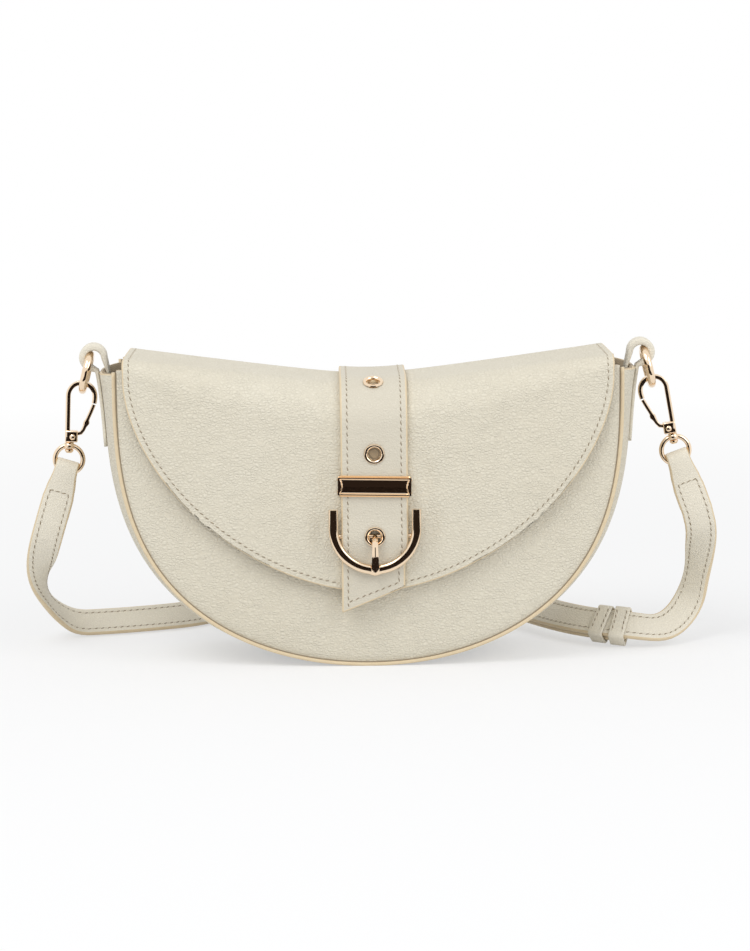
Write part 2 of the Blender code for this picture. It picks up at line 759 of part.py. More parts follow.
def make_prong(metal):
    """The prong, hooked on the crossbar, up through the lowest eyelet and down over the frame."""
    axes = buckle_frame_axes()
    rest = buckle_level() + BUCKLE_BAR_DEPTH / 2 + FIT_GAP + PRONG_THICKNESS / 2
    bar = CROSSBAR_LEVEL
    reach = CROSSBAR_Z - BUCKLE_LOW_Z - BUCKLE_BAR_WIDTH / 4
    places_share = ((0.02, 0.16), (0.05, 0.45), (0.09, 0.70), (0.20, 0.93))
    places_share += ((0.48, 1.02), (0.78, 1.0), (1.0, 1.0))
    widths_share = (0.0, 0.1, 0.15, 0.2, 0.55, 1.0, 0.8)
    path = [axes.at(0, -reach * down, mix(bar, rest, out)) for down, out in places_share]
    halves = [(PRONG_THICKNESS / 2, mix(PRONG_WIDTH, PRONG_TIP_WIDTH, share) / 2) for share in widths_share]
    prong = swept("buckle_prong", path, axes.a, halves, metal)
    eye = Frame(axes.at(0, 0, bar), (0, 0, 1), (1, 0, 0))
    inner = CROSSBAR_RADIUS + FIT_GAP
    outer = inner + PRONG_EYE_WALL
    half = PRONG_WIDTH / 2
    profile = [(inner, -half), (outer, -half), (outer, half), (inner, half)]
    fuse(prong, turned("prong_eye", eye, profile, metal))
    clear = [(inner, -CUT_OVERRUN), (inner, CUT_OVERRUN)]
    cut(prong, stacked("prong_eye_clearance", eye, clear, metal))


# Ring loops, rings and snap hooks


def gusset_wall(share):
    """Middle line of the gusset's outer surface on the right, and its outward direction there."""
    nudge = 0.001
    along = gusset_point(share + nudge, 0) - gusset_point(max(share - nudge, 0), 0)
    return gusset_point(share, 0), Vector((-along.z, 0, along.x)).normalized()


def wall_line(offset, length, side):
    """Points down the gusset at an offset from its outer surface, from its top."""
    walk = [gusset_point(share, 0) for share in even(GUSSET_STATIONS)]
    full = sum((after - before).length for before, after in zip(walk, walk[1:]))
    points = []
    for share in even(5):
        point, outward = gusset_wall(share * length / full)
        if outward.x < 0:
            outward = -outward
        moved = point + outward * offset
        points.append(Vector((side * moved.x, 0, moved.z)))
    return points


def make_loop(side, label, surface):
    """A leather band folded through the ring, with one leg outside the gusset and one inside."""
    wall = GUSSET_THICKNESS + FIT_GAP + LINING_THICKNESS
    outside = wall_line(FIT_GAP, LOOP_OUTER_LEG, side)
    outside_far = wall_line(FIT_GAP + LOOP_LEG_THICKNESS, LOOP_OUTER_LEG, side)
    inside = wall_line(-wall - FIT_GAP, LOOP_INNER_LEG, side)
    inside_far = wall_line(-wall - FIT_GAP - LOOP_LEG_THICKNESS, LOOP_INNER_LEG, side)
    radius = LOOP_HOLE_RADIUS + LOOP_BAND
    centre = Vector((side * LOOP_X, 0, LOOP_Z))
    outline = outside_far[::-1]
    turns = [math.radians(-80 + 260 * share) for share in even(14)]
    outline += [centre + Vector((side * radius * math.cos(t), 0, radius * math.sin(t))) for t in turns]
    outline += inside_far + inside[::-1]
    rise = Vector((0, 0, FIT_GAP))
    outline += [inside[0] + rise, outside[0] + rise] + outside
    half = Vector((0, LOOP_WIDTH / 2, 0))
    loop = loft(f"ring_loop_{label}", [[p - half for p in outline], [p + half for p in outline]], surface)
    hole = Frame(centre, (1, 0, 0), (0, 1, 0))
    ends = [(LOOP_HOLE_RADIUS, -LOOP_WIDTH), (LOOP_HOLE_RADIUS, LOOP_WIDTH)]
    cut(loop, stacked(f"loop_hole_{label}", hole, ends, surface, sides=20))


def ring_centre(side):
    return Vector((side * (RING_TOP_X + RING_RADIUS * math.sin(RING_TILT)), 0, RING_Z))


def ring_bottom(side):
    centre = ring_centre(side)
    down = Vector((side * math.sin(RING_TILT), 0, -math.cos(RING_TILT)))
    return centre + down * RING_RADIUS


def make_ring(side, label, metal):
    up = Vector((-side * math.sin(RING_TILT), 0, math.cos(RING_TILT)))
    sideways = up.cross(Vector((0, 1, 0)))
    path = []
    for step in range(RING_STATIONS):
        turn = math.tau * step / RING_STATIONS
        spoke = up * math.cos(turn) + Vector((0, math.sin(turn), 0))
        path.append(ring_centre(side) + spoke * RING_RADIUS)
    wire = (RING_WIRE_RADIUS, RING_WIRE_RADIUS)
    swept(f"ring_{label}", path, sideways, wire, metal, wrap=True)


def hook_axes(side):
    """The hook's own plane: a towards the bag, c up, with the origin under the block's middle."""
    lean = HOOK_LEANS[side]
    up = Vector((-side * math.sin(lean), 0, math.cos(lean)))
    inward = Vector((-side * math.cos(lean), 0, -math.sin(lean)))
    arc_centre = HOOK_ARC_RADIUS - HOOK_SPINE_OFFSET
    shift = HOOK_WIRE_SHIFT
    room = HOOK_ARC_RADIUS - HOOK_WIRE_WIDTH / 2 - RING_WIRE_RADIUS - HOOK_HANG_GAP
    wire_height = HOOK_ARC_HEIGHT + math.sqrt(room**2 - shift**2)
    frame = Frame((0, 0, 0), inward, up)
    frame.origin = ring_bottom(side) - frame.a * (arc_centre + shift) - frame.c * wire_height
    return frame


def make_hook(side, label, metal):
    axes = hook_axes(side)
    spine = -HOOK_SPINE_OFFSET
    centre = HOOK_ARC_RADIUS - HOOK_SPINE_OFFSET
    path = [axes.at(spine, 0, HOOK_BLOCK_HEIGHT / 2), axes.at(spine, 0, HOOK_ARC_HEIGHT / 2)]
    for share in even(12):
        turn = math.pi * (1 - share)
        height = HOOK_ARC_HEIGHT + HOOK_ARC_RADIUS * math.sin(turn)
        path.append(axes.at(centre + HOOK_ARC_RADIUS * math.cos(turn), 0, height))
    nose = centre + HOOK_ARC_RADIUS
    path.append(axes.at(nose - FIT_GAP, 0, HOOK_ARC_HEIGHT - HOOK_NOSE_LENGTH))
    halves = (HOOK_WIRE_WIDTH / 2, HOOK_WIRE_DEPTH / 2)
    hook = swept(f"hook_{label}", path, axes.b, halves, metal)
    half_width, half_block = HOOK_BLOCK_WIDTH / 2, HOOK_BLOCK_DEPTH / 2
    width = (-half_width, half_width)
    depth = (-half_block, half_block)
    fuse(hook, box(f"hook_block_{label}", axes, width, depth, (0, HOOK_BLOCK_HEIGHT), metal))
    slot = GATE_THICKNESS / 2 + FIT_GAP
    slot_low = GATE_PIN_HEIGHT - GATE_EYE_RADIUS - FIT_GAP
    slot_in = GATE_PIN_OFFSET - GATE_EYE_RADIUS - FIT_GAP
    slot_a = (slot_in, half_width + CUT_OVERRUN)
    slot_c = (slot_low, HOOK_BLOCK_HEIGHT + FIT_GAP)
    cut(hook, box(f"gate_slot_{label}", axes, slot_a, (-slot, slot), slot_c, metal))
    pin = Frame(axes.at(GATE_PIN_OFFSET, 0, GATE_PIN_HEIGHT), axes.a, axes.b)
    hole = GATE_PIN_RADIUS + FIT_GAP
    cut(hook, stacked(f"pin_hole_{label}", pin, [(hole, -CUT_OVERRUN), (hole, CUT_OVERRUN)], metal, sides=12))
    reach = half_block + FIT_GAP
    pin_profile = [
        (GATE_PIN_HEAD_RADIUS * 0.7, -reach - GATE_PIN_HEAD),
        (GATE_PIN_HEAD_RADIUS, -reach),
        (GATE_PIN_RADIUS, -reach),
        (GATE_PIN_RADIUS, reach),
        (GATE_PIN_HEAD_RADIUS, reach),
        (GATE_PIN_HEAD_RADIUS * 0.7, reach + GATE_PIN_HEAD),
    ]
    stacked(f"gate_pin_{label}", pin, pin_profile, metal, sides=12)


def make_gate(side, label, metal):
    """The sprung gate, from its pin in the block up to the hook's nose, with a thumb nub."""
    axes = hook_axes(side)
    nose = 2 * HOOK_ARC_RADIUS - HOOK_SPINE_OFFSET - FIT_GAP
    top = HOOK_ARC_HEIGHT - HOOK_NOSE_LENGTH - FIT_GAP
    low_a, low_c = GATE_PIN_OFFSET, GATE_PIN_HEIGHT
    bend_a = HOOK_BLOCK_WIDTH / 2 + GATE_WIDTH / 2
    places_share = ((0.0, 0.0), (0.42, 0.12), (0.55, 0.30), (0.62, 0.42), (0.70, 0.54), (0.96, 0.93))
    width_share = (0.9, 1.0, 1.0, 1.45, 1.0, 1.0)
    path = [axes.at(mix(low_a, nose, a), 0, mix(low_c, top, c)) for a, c in places_share]
    path[1] = axes.at(bend_a, 0, mix(low_c, top, places_share[1][1]))
    halves = [(GATE_WIDTH / 2 * share, GATE_THICKNESS / 2) for share in width_share]
    gate = swept(f"gate_{label}", path, axes.b, halves, metal)
    pin = Frame(axes.at(low_a, 0, low_c), axes.a, axes.b)
    inner = GATE_PIN_RADIUS + FIT_GAP
    half = GATE_THICKNESS / 2
    profile = [(inner, -half), (GATE_EYE_RADIUS, -half), (GATE_EYE_RADIUS, half), (inner, half)]
    fuse(gate, turned(f"gate_eye_{label}", pin, profile, metal))
    clear = [(inner, -CUT_OVERRUN), (inner, CUT_OVERRUN)]
    cut(gate, stacked(f"gate_eye_clearance_{label}", pin, clear, metal))


def make_stem(side, label, metal):
    """The post that the hook turns on: a collar under the block, a shaft, and a flared head."""
    axes = hook_axes(side)
    frame = Frame(axes.at(-STEM_OFFSET, 0, 0), axes.a, axes.c)
    profile = [
        (STEM_HEAD_RADIUS * 0.8, -STEM_LENGTH),
        (STEM_HEAD_RADIUS, -STEM_LENGTH + STEM_HEAD / 2),
        (STEM_HEAD_RADIUS, -STEM_LENGTH + STEM_HEAD),
        (STEM_RADIUS, -STEM_LENGTH + STEM_HEAD),
        (STEM_RADIUS, -FIT_GAP * 2),
        (STEM_COLLAR_RADIUS, -FIT_GAP * 2),
        (STEM_COLLAR_RADIUS, -FIT_GAP),
    ]
    stacked(f"hook_stem_{label}", frame, profile, metal, sides=12)


def swivel_axes(side):
    """The swivel ring's centre, in the hook's plane."""
    axes = hook_axes(side)
    return Frame(axes.at(-STEM_OFFSET, 0, -SWIVEL_DROP), axes.a, axes.c)


def make_swivel_ring(side, label, metal):
    axes = swivel_axes(side)
    path = []
    for step in range(RING_STATIONS):
        turn = math.tau * (step + 0.5) / RING_STATIONS
        path.append(axes.at(SWIVEL_RADIUS * math.sin(turn), 0, SWIVEL_RADIUS * math.cos(turn)))
    wire = (SWIVEL_WIRE_RADIUS, SWIVEL_WIRE_RADIUS)
    ring = swept(f"swivel_ring_{label}", path, axes.b, wire, metal, wrap=True)
    top = SWIVEL_DROP - SWIVEL_BOSS_TOP
    boss = [(SWIVEL_BOSS_RADIUS, top - SWIVEL_BOSS_LENGTH), (SWIVEL_BOSS_RADIUS, top)]
    fuse(ring, stacked(f"swivel_boss_{label}", axes, boss, metal, sides=12))
    bore = STEM_RADIUS + FIT_GAP
    ends = [(bore, SWIVEL_RADIUS - CUT_OVERRUN / 2), (bore, SWIVEL_DROP)]
    cut(ring, stacked(f"swivel_bore_{label}", axes, ends, metal, sides=12))


# Strap


def strap_axes(side):
    """Where a strap end folds through its swivel ring: a across the strap, b backwards, c up the strap."""
    swivel = swivel_axes(side)
    lean = STRAP_LEANS[side]
    up = Vector((-side * math.sin(lean), 0, math.cos(lean)))
    axes = Frame(swivel.origin, (1, 0, 0), up)
    return axes


def fold_stations(side):
    """The folded end, from the end of the inner layer, over the ring's wire, to the outer run."""
    axes = strap_axes(side)
    wide = SWIVEL_WIRE_RADIUS + FIT_GAP + STRAP_THICKNESS / 2
    near = (STRAP_THICKNESS + FIT_GAP) / 2
    top = -SWIVEL_RADIUS + FOLD_RISE
    places = [
        (near, top - FOLD_LENGTH, 1.0),
        (near, top - FOLD_CLOSING * 1.4, 1.0),
        (near, top - FOLD_CLOSING, 0.75),
        (wide, top - FOLD_RISE, 0.1),
        (wide, top, 0.0),
    ]
    for share in even(8)[1:-1]:
        turn = math.pi * share
        places.append((wide * math.cos(turn), top + wide * math.sin(turn), 0.0))
    places += [(-b, c, w) for b, c, w in reversed(places[:5])]
    places[-1] = (-near, top - FOLD_STRAIGHT, 1.0)
    stations = []
    points = [axes.at(0, b, c) for b, c, _ in places]
    for index, (_, _, widen) in enumerate(places):
        before, after = points[max(index - 1, 0)], points[min(index + 1, len(points) - 1)]
        tangent = (after - before).normalized()
        width = mix(STRAP_NECK_WIDTH, STRAP_WIDTH, widen)
        stations.append((points[index], tangent, axes.a, width))
    return stations


# The strap's way from the left hook round behind the bag to the right hook, as shares of the strap's span:
# x, y, height, and the share of the lean that it has on the floor.
FALL_LEFT_SHARES = (
    (-0.496, 0.005, 0.169, 0.12),
    (-0.504, 0.028, 0.139, 0.3),
    (-0.508, 0.059, 0.109, 0.5),
    (-0.506, 0.089, 0.079, 0.7),
    (-0.497, 0.116, 0.053, 0.87),
    (-0.482, 0.134, 0.036, 0.97),
)
# Along the floor: x, y, and the share of the lift that the keepers and the buckle give it.
FLOOR_SHARES = (
    (-0.459, 0.146, 0),
    (-0.415, 0.155, 0),
    (-0.364, 0.171, 0),
    (-0.316, 0.190, 0),
    (-0.285, 0.206, 0),
    (-0.253, 0.237, 0),
    (-0.225, 0.294, 0),
    (-0.206, 0.380, 0),
    (-0.193, 0.491, 0),
    (-0.180, 0.601, 0),
    (-0.152, 0.699, 0),
    (-0.108, 0.775, 0),
    (-0.051, 0.820, 0),
    (0.019, 0.829, 0),
    (0.079, 0.807, 0),
    (0.123, 0.753, 0),
    (0.152, 0.674, 0),
    (0.168, 0.585, 0.3),
    (0.177, 0.491, 0.9),
    (0.187, 0.402, 1),
    (0.199, 0.320, 1),
    (0.218, 0.247, 1),
    (0.244, 0.187, 1),
    (0.275, 0.130, 1),
    (0.307, 0.082, 1),
    (0.342, 0.044, 1),
    (0.380, 0.019, 1),
    (0.418, 0.009, 0.8),
    (0.454, 0.022, 0.4),
)
FALL_RIGHT_SHARES = (
    (0.483, 0.046, 0.042, 0.8),
    (0.501, 0.059, 0.068, 0.68),
    (0.509, 0.057, 0.100, 0.54),
    (0.511, 0.044, 0.130, 0.38),
    (0.511, 0.024, 0.157, 0.22),
    (0.510, 0.004, 0.181, 0.06),
)


def route_marks():
    """Hand-chosen marks of the route between the two folded ends: position, turn of the width, and lift."""
    marks = []
    start = fold_stations(-1)[-1]
    marks.append((start[0] + start[1] * STRAP_STATION / 2, 0.0, None))
    for x, y, z, turn in FALL_LEFT_SHARES:
        marks.append((Vector((x, y, z)) * STRAP_SPAN, turn, None))
    for x, y, lift in FLOOR_SHARES:
        marks.append((Vector((x, y, 0)) * STRAP_SPAN, 1.0, lift))
    for x, y, z, turn in FALL_RIGHT_SHARES:
        marks.append((Vector((x, y, z)) * STRAP_SPAN, turn, None))
    finish_station = fold_stations(1)[-1]
    marks.append((finish_station[0] + finish_station[1] * STRAP_STATION / 2, 0.0, None))
    return marks


def floor_height(lift):
    """Height of the strap's middle line where it leans on the floor."""
    lean = STRAP_WIDTH / 2 * math.cos(STRAP_FLOOR_LEAN) + STRAP_THICKNESS / 2 * math.sin(STRAP_FLOOR_LEAN)
    return lean + STRAP_FLOOR_GAP + KEEPER_LIFT * lift


def smooth(first, second, third, fourth, share):
    """A point of a smooth curve between the second and third of four points."""
    return 0.5 * (
        2 * second
        + (third - first) * share
        + (2 * first - 5 * second + 4 * third - fourth) * share**2
        + (3 * second - first - 3 * third + fourth) * share**3
    )


class Route:
    """The strap's middle line, measured along its length."""

    def __init__(self):
        marks = route_marks()
        points = []
        turns = []
        for point, turn, lift in marks:
            height = point.z if lift is None else floor_height(lift)
            points.append(Vector((point.x, point.y, height)))
            turns.append(turn)
        points = [2 * points[0] - points[1]] + points + [2 * points[-1] - points[-2]]
        turns = [turns[0]] + turns + [turns[-1]]
        self.points = []
        self.turns = []
        for index in range(1, len(points) - 2):
            for share in even(8)[:-1]:
                self.points.append(smooth(*points[index - 1 : index + 3], share))
                self.turns.append(mix(turns[index], turns[index + 1], share))
        self.points.append(points[-2])
        self.turns.append(turns[-2])
        self.distances = [0.0]
        for before, after in zip(self.points, self.points[1:]):
            self.distances.append(self.distances[-1] + (after - before).length)
        self.length = self.distances[-1]

    def locate(self, distance):
        distance = clamp(distance, 0, self.length)
        index = 0
        while index < len(self.distances) - 2 and self.distances[index + 1] < distance:
            index += 1
        span = self.distances[index + 1] - self.distances[index]
        return index, (distance - self.distances[index]) / span

    def point(self, distance):
        index, share = self.locate(distance)
        return mix(self.points[index], self.points[index + 1], share)

    def station(self, distance):
        """Middle, direction, width direction and thickness direction at a distance along the strap."""
        step = STRAP_STATION / 2
        tangent = (self.point(distance + step) - self.point(distance - step)).normalized()
        index, share = self.locate(distance)
        turn = mix(self.turns[index], self.turns[index + 1], share)
        level = Vector((-tangent.y, tangent.x, 0)).normalized()
        upright = Vector((-tangent.z, 0, tangent.x)).normalized() * (1 - turn) + Vector((0, 0, turn))
        back = Vector((0, 1 - turn, 0)) + level * turn
        lean = STRAP_FLOOR_LEAN * turn
        width = upright.normalized() * math.cos(lean) + back.normalized() * math.sin(lean)
        width = (width - width.dot(tangent) * tangent).normalized()
        return self.point(distance), tangent, width, width.cross(tangent)


def ribbon(name, stations, surface):
    """A flat strap of oblong section through stations of (middle, width direction, out direction, width)."""
    rings = []
    half = STRAP_THICKNESS / 2
    for middle, across, out, width in stations:
        side = across * width / 2
        thick = out * half
        lowest = middle.z - abs(side.z) - abs(thick.z)
        middle = middle + Vector((0, 0, max(STRAP_FLOOR_GAP - lowest, 0)))
        inner = [middle - side - thick, middle + side - thick]
        rings.append(inner + [middle + side + thick, middle - side + thick])
    return loft(name, rings, surface)


def run_stations(route, start, end, offset):
    """Even stations along the route, shifted out of it by offset(distance)."""
    count = max(1, round(abs(end - start) / STRAP_STATION))
    stations = []
    for share in even(count):
        distance = mix(start, end, share)
        middle, _, across, out = route.station(distance)
        stations.append((middle + out * offset(distance), across, out, STRAP_WIDTH))
    return stations


def folded(side):
    """The fold's stations as ribbon stations."""
    stations = []
    for middle, tangent, across, width in fold_stations(side):
        stations.append((middle, across * -side, across.cross(tangent), width))
    return stations


def ease(value):
    value = clamp(value)
    return value * value * (3 - 2 * value)


def strap_buckle_axes(route):
    """At the adjusting buckle's pivot bar: a across the strap, b out of its face, c to the left end."""
    distance = route.length - STRAP_BUCKLE_DISTANCE
    middle, tangent, across, out = route.station(distance)
    fold = STRAP_BUCKLE_WIRE + FIT_GAP + STRAP_THICKNESS / 2
    frame = Frame(middle, across, -tangent)
    if frame.b.dot(out) < 0:
        frame.a = -frame.a
        frame.b = -frame.b
    frame.origin = middle - frame.b * fold
    return frame


def make_long_strap(route, surface):
    """From the left hook round the back, through the buckle, and over the short piece to its tail."""
    pivot = route.length - STRAP_BUCKLE_DISTANCE
    tip_bar = pivot - STRAP_BUCKLE_LENGTH
    tail = route.length - TAIL_DISTANCE
    over = STRAP_THICKNESS + LAYER_GAP
    fold = STRAP_BUCKLE_WIRE + FIT_GAP + STRAP_THICKNESS / 2
    under = -2 * fold
    rise_start = tip_bar + STRAP_BUCKLE_WIRE * 1.5
    rise_end = pivot - STRAP_BUCKLE_WIRE * 1.5
    settle = STRAP_BUCKLE_LENGTH * 2.5

    def offset(distance):
        if distance < rise_start:
            return under * ease((distance - tip_bar + settle) / settle)
        return mix(under, over, clamp((distance - rise_start) / (rise_end - rise_start)))

    stations = folded(-1)
    stations += run_stations(route, STRAP_STATION, rise_start - STRAP_STATION / 2, offset)
    stations += run_stations(route, rise_start, rise_end, offset)
    stations += run_stations(route, rise_end + STRAP_STATION / 2, tail, offset)
    middle, across, out, _ = stations[-1]
    tangent = route.station(tail)[1]
    stations.append((middle + tangent * STRAP_WIDTH / 3, across, out, STRAP_WIDTH / 3))
    strap = ribbon("strap_long", stations, surface)
    for index in range(1, 4):
        distance = tip_bar - STRAP_HOLE_PITCH * (index + 0.5)
        middle, _, across, out = route.station(distance)
        frame = Frame(middle + out * offset(distance), across, out)
        ends = [(STRAP_HOLE_RADIUS, -STRAP_THICKNESS), (STRAP_HOLE_RADIUS, STRAP_THICKNESS)]
        cut(strap, stacked(f"strap_hole_{index}", frame, ends, surface, sides=12))
    axes = strap_buckle_axes(route)
    half = STRAP_PRONG_WIDTH / 2 + FIT_GAP * 2
    deep = STRAP_PRONG_WIDTH / 2 + FIT_GAP * 3
    window = (STRAP_BUCKLE_WIRE * 2, STRAP_BUCKLE_LENGTH - STRAP_BUCKLE_WIRE * 2)
    cut(strap, box("prong_window", axes, (-half, half), (-deep, deep * 2), window, surface))


def make_short_strap(route, surface):
    """From the right hook to the adjusting buckle, folded back round its pivot bar."""
    pivot = route.length - STRAP_BUCKLE_DISTANCE
    fold = STRAP_BUCKLE_WIRE + FIT_GAP + STRAP_THICKNESS / 2
    stations = folded(1)
    stations += run_stations(route, route.length - STRAP_STATION, pivot, lambda distance: 0.0)
    axes = strap_buckle_axes(route)
    across = stations[-1][1]
    for share in even(6)[1:]:
        turn = math.pi * share
        middle = axes.at(0, fold * math.cos(turn), fold * math.sin(turn))
        out = axes.b * math.cos(turn) + axes.c * math.sin(turn)
        stations.append((middle, across, out, STRAP_WIDTH))
    back = run_stations(route, pivot + STRAP_STATION, pivot + FOLD_LENGTH, lambda distance: -2 * fold)
    near = STRAP_THICKNESS + FIT_GAP
    for index, (middle, _, out, width) in enumerate(back):
        closing = (2 * fold - near) * ease(index / (len(back) - 1))
        stations.append((middle + out * closing, across, -out, width))
    strap = ribbon("strap_short", stations, surface)
    half = STRAP_PRONG_WIDTH / 2 + FIT_GAP * 2
    span = (-STRAP_BUCKLE_WIRE * 3.2, fold + STRAP_THICKNESS)
    cut(strap, box("prong_slot", axes, (-half, half), (-fold * 2, fold * 2), span, surface))


def make_strap_buckle(route, metal):
    """A plain oblong frame, its prong, and its two bars."""
    axes = strap_buckle_axes(route)
    half = STRAP_WIDTH / 2 + STRAP_BUCKLE_SIDE_GAP + STRAP_BUCKLE_WIRE
    corner = STRAP_BUCKLE_WIRE
    length = STRAP_BUCKLE_LENGTH
    corners = ((-half, 0), (half, 0), (half, length), (-half, length))
    path = []
    for index, (a, c) in enumerate(corners):
        turns = [math.pi / 2 * (index - 2 + share) for share in (0.0, 0.5, 1.0)]
        centre_a = a - math.copysign(corner, a)
        centre_c = c + (corner if c == 0 else -corner)
        for turn in turns:
            path.append(axes.at(centre_a + corner * math.cos(turn), 0, centre_c + corner * math.sin(turn)))
    wire = (STRAP_BUCKLE_WIRE, STRAP_BUCKLE_WIRE)
    swept("strap_buckle_frame", path, axes.b, wire, metal, wrap=True)
    inner = STRAP_BUCKLE_WIRE + FIT_GAP
    rest = STRAP_BUCKLE_WIRE + FIT_GAP + STRAP_PRONG_WIDTH / 2
    places = ((inner * 1.4, 0.0), (length * 0.3, 0.0), (length * 0.75, rest), (length + inner, rest))
    path = [axes.at(0, b, c) for c, b in places]
    half_prong = STRAP_PRONG_WIDTH / 2
    prong = swept("strap_buckle_prong", path, axes.a, (half_prong * 0.8, half_prong), metal)
    eye = Frame(axes.origin, axes.c, axes.a)
    outer = inner + half_prong
    profile = [(inner, -half_prong), (outer, -half_prong), (outer, half_prong), (inner, half_prong)]
    fuse(prong, turned("strap_prong_eye", eye, profile, metal, sides=12))
    clear = [(inner, -CUT_OVERRUN), (inner, CUT_OVERRUN)]
    cut(prong, stacked("strap_prong_clearance", eye, clear, metal, sides=12))


def make_keeper(name, route, distance, gap, surface):
    """A leather band round both layers of the strap."""
    middle, tangent, across, out = route.station(route.length - distance)
    frame = Frame(middle, across, tangent)
    if frame.b.dot(out) < 0:
        frame.a, frame.b = -frame.a, -frame.b
    half = STRAP_WIDTH / 2 + gap
    low = -STRAP_THICKNESS / 2 - gap
    high = STRAP_THICKNESS * 1.5 + LAYER_GAP + gap
    thick = KEEPER_THICKNESS
    corners = ((-half, low, -1, -1), (half, low, 1, -1), (half, high, 1, 1), (-half, high, -1, 1))
    rings = []
    for a, b, a_way, b_way in corners:
        outer_a, outer_b = a + a_way * thick, b + b_way * thick
        ends = (-KEEPER_WIDTH / 2, KEEPER_WIDTH / 2)
        rings.append(
            [
                frame.at(a, b, ends[0]),
                frame.at(outer_a, outer_b, ends[0]),
                frame.at(outer_a, outer_b, ends[1]),
                frame.at(a, b, ends[1]),
            ]
        )
    loft(name, rings, surface, wrap=True)


def main():
    for old in list(bpy.data.objects):
        bpy.data.objects.remove(old, do_unlink=True)
    leather = material("cream_leather", (0.76, 0.71, 0.58), 0.55)
    smooth_leather = material("smooth_leather", (0.78, 0.73, 0.61), 0.45)
    lining = material("lining_cloth", (0.60, 0.50, 0.36), 0.80)
    board = material("stiffener_board", (0.45, 0.40, 0.33), 0.90)
    gold = material("pale_gold", (0.95, 0.76, 0.52), 0.12, 1.0)
    make_panel("front_panel", -1, leather)
    make_panel("back_panel", 1, leather)
    make_board("front_stiffener", -1, board)
    make_board("back_stiffener", 1, board)
    make_panel_lining("front_lining", -1, lining)
    make_panel_lining("back_lining", 1, lining)
    make_pocket(lining)
    make_gusset_layer("gusset", 0, -GUSSET_THICKNESS, leather)
    inner = -GUSSET_THICKNESS - FIT_GAP
    make_gusset_layer("gusset_lining", inner, inner - LINING_THICKNESS, lining)
    make_flap(leather)
    make_flap_lining(lining)
    make_magnet(gold)
    tab = make_tab(smooth_leather)
    make_eyelets(tab, gold)
    make_bar_keeper(gold)
    make_buckle(tab, gold)
    make_prong(gold)
    for side, label in ((-1, "left"), (1, "right")):
        make_loop(side, label, smooth_leather)
        make_ring(side, label, gold)
        make_hook(side, label, gold)
        make_gate(side, label, gold)
        make_stem(side, label, gold)
        make_swivel_ring(side, label, gold)
    route = Route()
    make_long_strap(route, smooth_leather)
    make_short_strap(route, smooth_leather)
    make_strap_buckle(route, gold)
    make_keeper("strap_keeper_fixed", route, FIXED_KEEPER_DISTANCE, FIT_GAP, smooth_leather)
    make_keeper("strap_keeper_sliding", route, SLIDING_KEEPER_DISTANCE, KEEPER_SLIDE_GAP, smooth_leather)


main()
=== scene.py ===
# %% [markdown]
# # A half-moon shoulder bag in cream leather
# The bag is a soft shell: two half-moon panels, a gusset that runs round between them, and a deep flap that
# comes over from the back. On the flap sits a tab with eyelets and a half-round buckle. A strap clips to a
# ring at each side with swivel hooks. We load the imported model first. It is the frame on which all the rest
# is made.

# %% Load the frame
import math

import bmesh
import bpy
from mathutils import Matrix, Vector, noise
from mathutils.bvhtree import BVHTree


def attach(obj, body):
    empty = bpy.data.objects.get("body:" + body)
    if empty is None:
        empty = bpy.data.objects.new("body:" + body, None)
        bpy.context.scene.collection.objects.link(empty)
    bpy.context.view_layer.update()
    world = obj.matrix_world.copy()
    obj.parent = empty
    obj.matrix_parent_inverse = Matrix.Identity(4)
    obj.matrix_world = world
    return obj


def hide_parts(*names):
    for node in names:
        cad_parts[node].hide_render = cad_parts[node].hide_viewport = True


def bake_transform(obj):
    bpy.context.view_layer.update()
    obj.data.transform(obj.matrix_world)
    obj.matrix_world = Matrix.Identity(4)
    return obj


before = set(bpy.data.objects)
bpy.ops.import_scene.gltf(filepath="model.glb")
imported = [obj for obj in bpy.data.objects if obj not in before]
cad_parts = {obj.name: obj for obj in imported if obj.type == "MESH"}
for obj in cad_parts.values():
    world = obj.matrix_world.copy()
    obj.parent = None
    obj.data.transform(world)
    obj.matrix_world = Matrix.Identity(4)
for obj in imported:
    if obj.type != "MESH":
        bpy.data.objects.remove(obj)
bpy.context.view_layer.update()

# %% [markdown]
# ## Camera
# The photograph is taken from a little above the bag, with a long lens, so the sides hardly converge. A
# camera far away with a long focal length gives that. It looks at a point near the middle of the bag, and
# leans half a degree, as the bag itself leans in the photograph.

# %% Camera
azimuth, elevation, camera_lean = math.radians(-1), math.radians(9), math.radians(-0.5)
look_at, camera_distance = Vector((0.0032, 0, 0.0864)), 1.5
away = Vector((math.sin(azimuth) * math.cos(elevation), -math.cos(azimuth) * math.cos(elevation),
               math.sin(elevation)))
camera = bpy.data.objects.new("camera", bpy.data.cameras.new("camera"))
camera.data.lens, camera.data.sensor_width = 117.9, 36
turn = away.to_track_quat("Z", "Y").to_matrix().to_4x4() @ Matrix.Rotation(camera_lean, 4, "Z")
camera.matrix_world = Matrix.Translation(look_at + away * camera_distance) @ turn
bpy.context.scene.collection.objects.link(camera)
bpy.context.scene.camera = camera
print("camera at", [round(v, 3) for v in camera.matrix_world.translation])

# %% [markdown]
# ## A small language for finishes
# A finish is a tree of shader nodes. Written as nodes, even `1 - mask * 0.3` takes many lines. So one small
# class wraps a socket, and the usual signs add Math nodes. Colours go through Mix nodes, and positions
# through Vector Math. Every other node comes from one method that takes its type, its settings and its
# inputs.


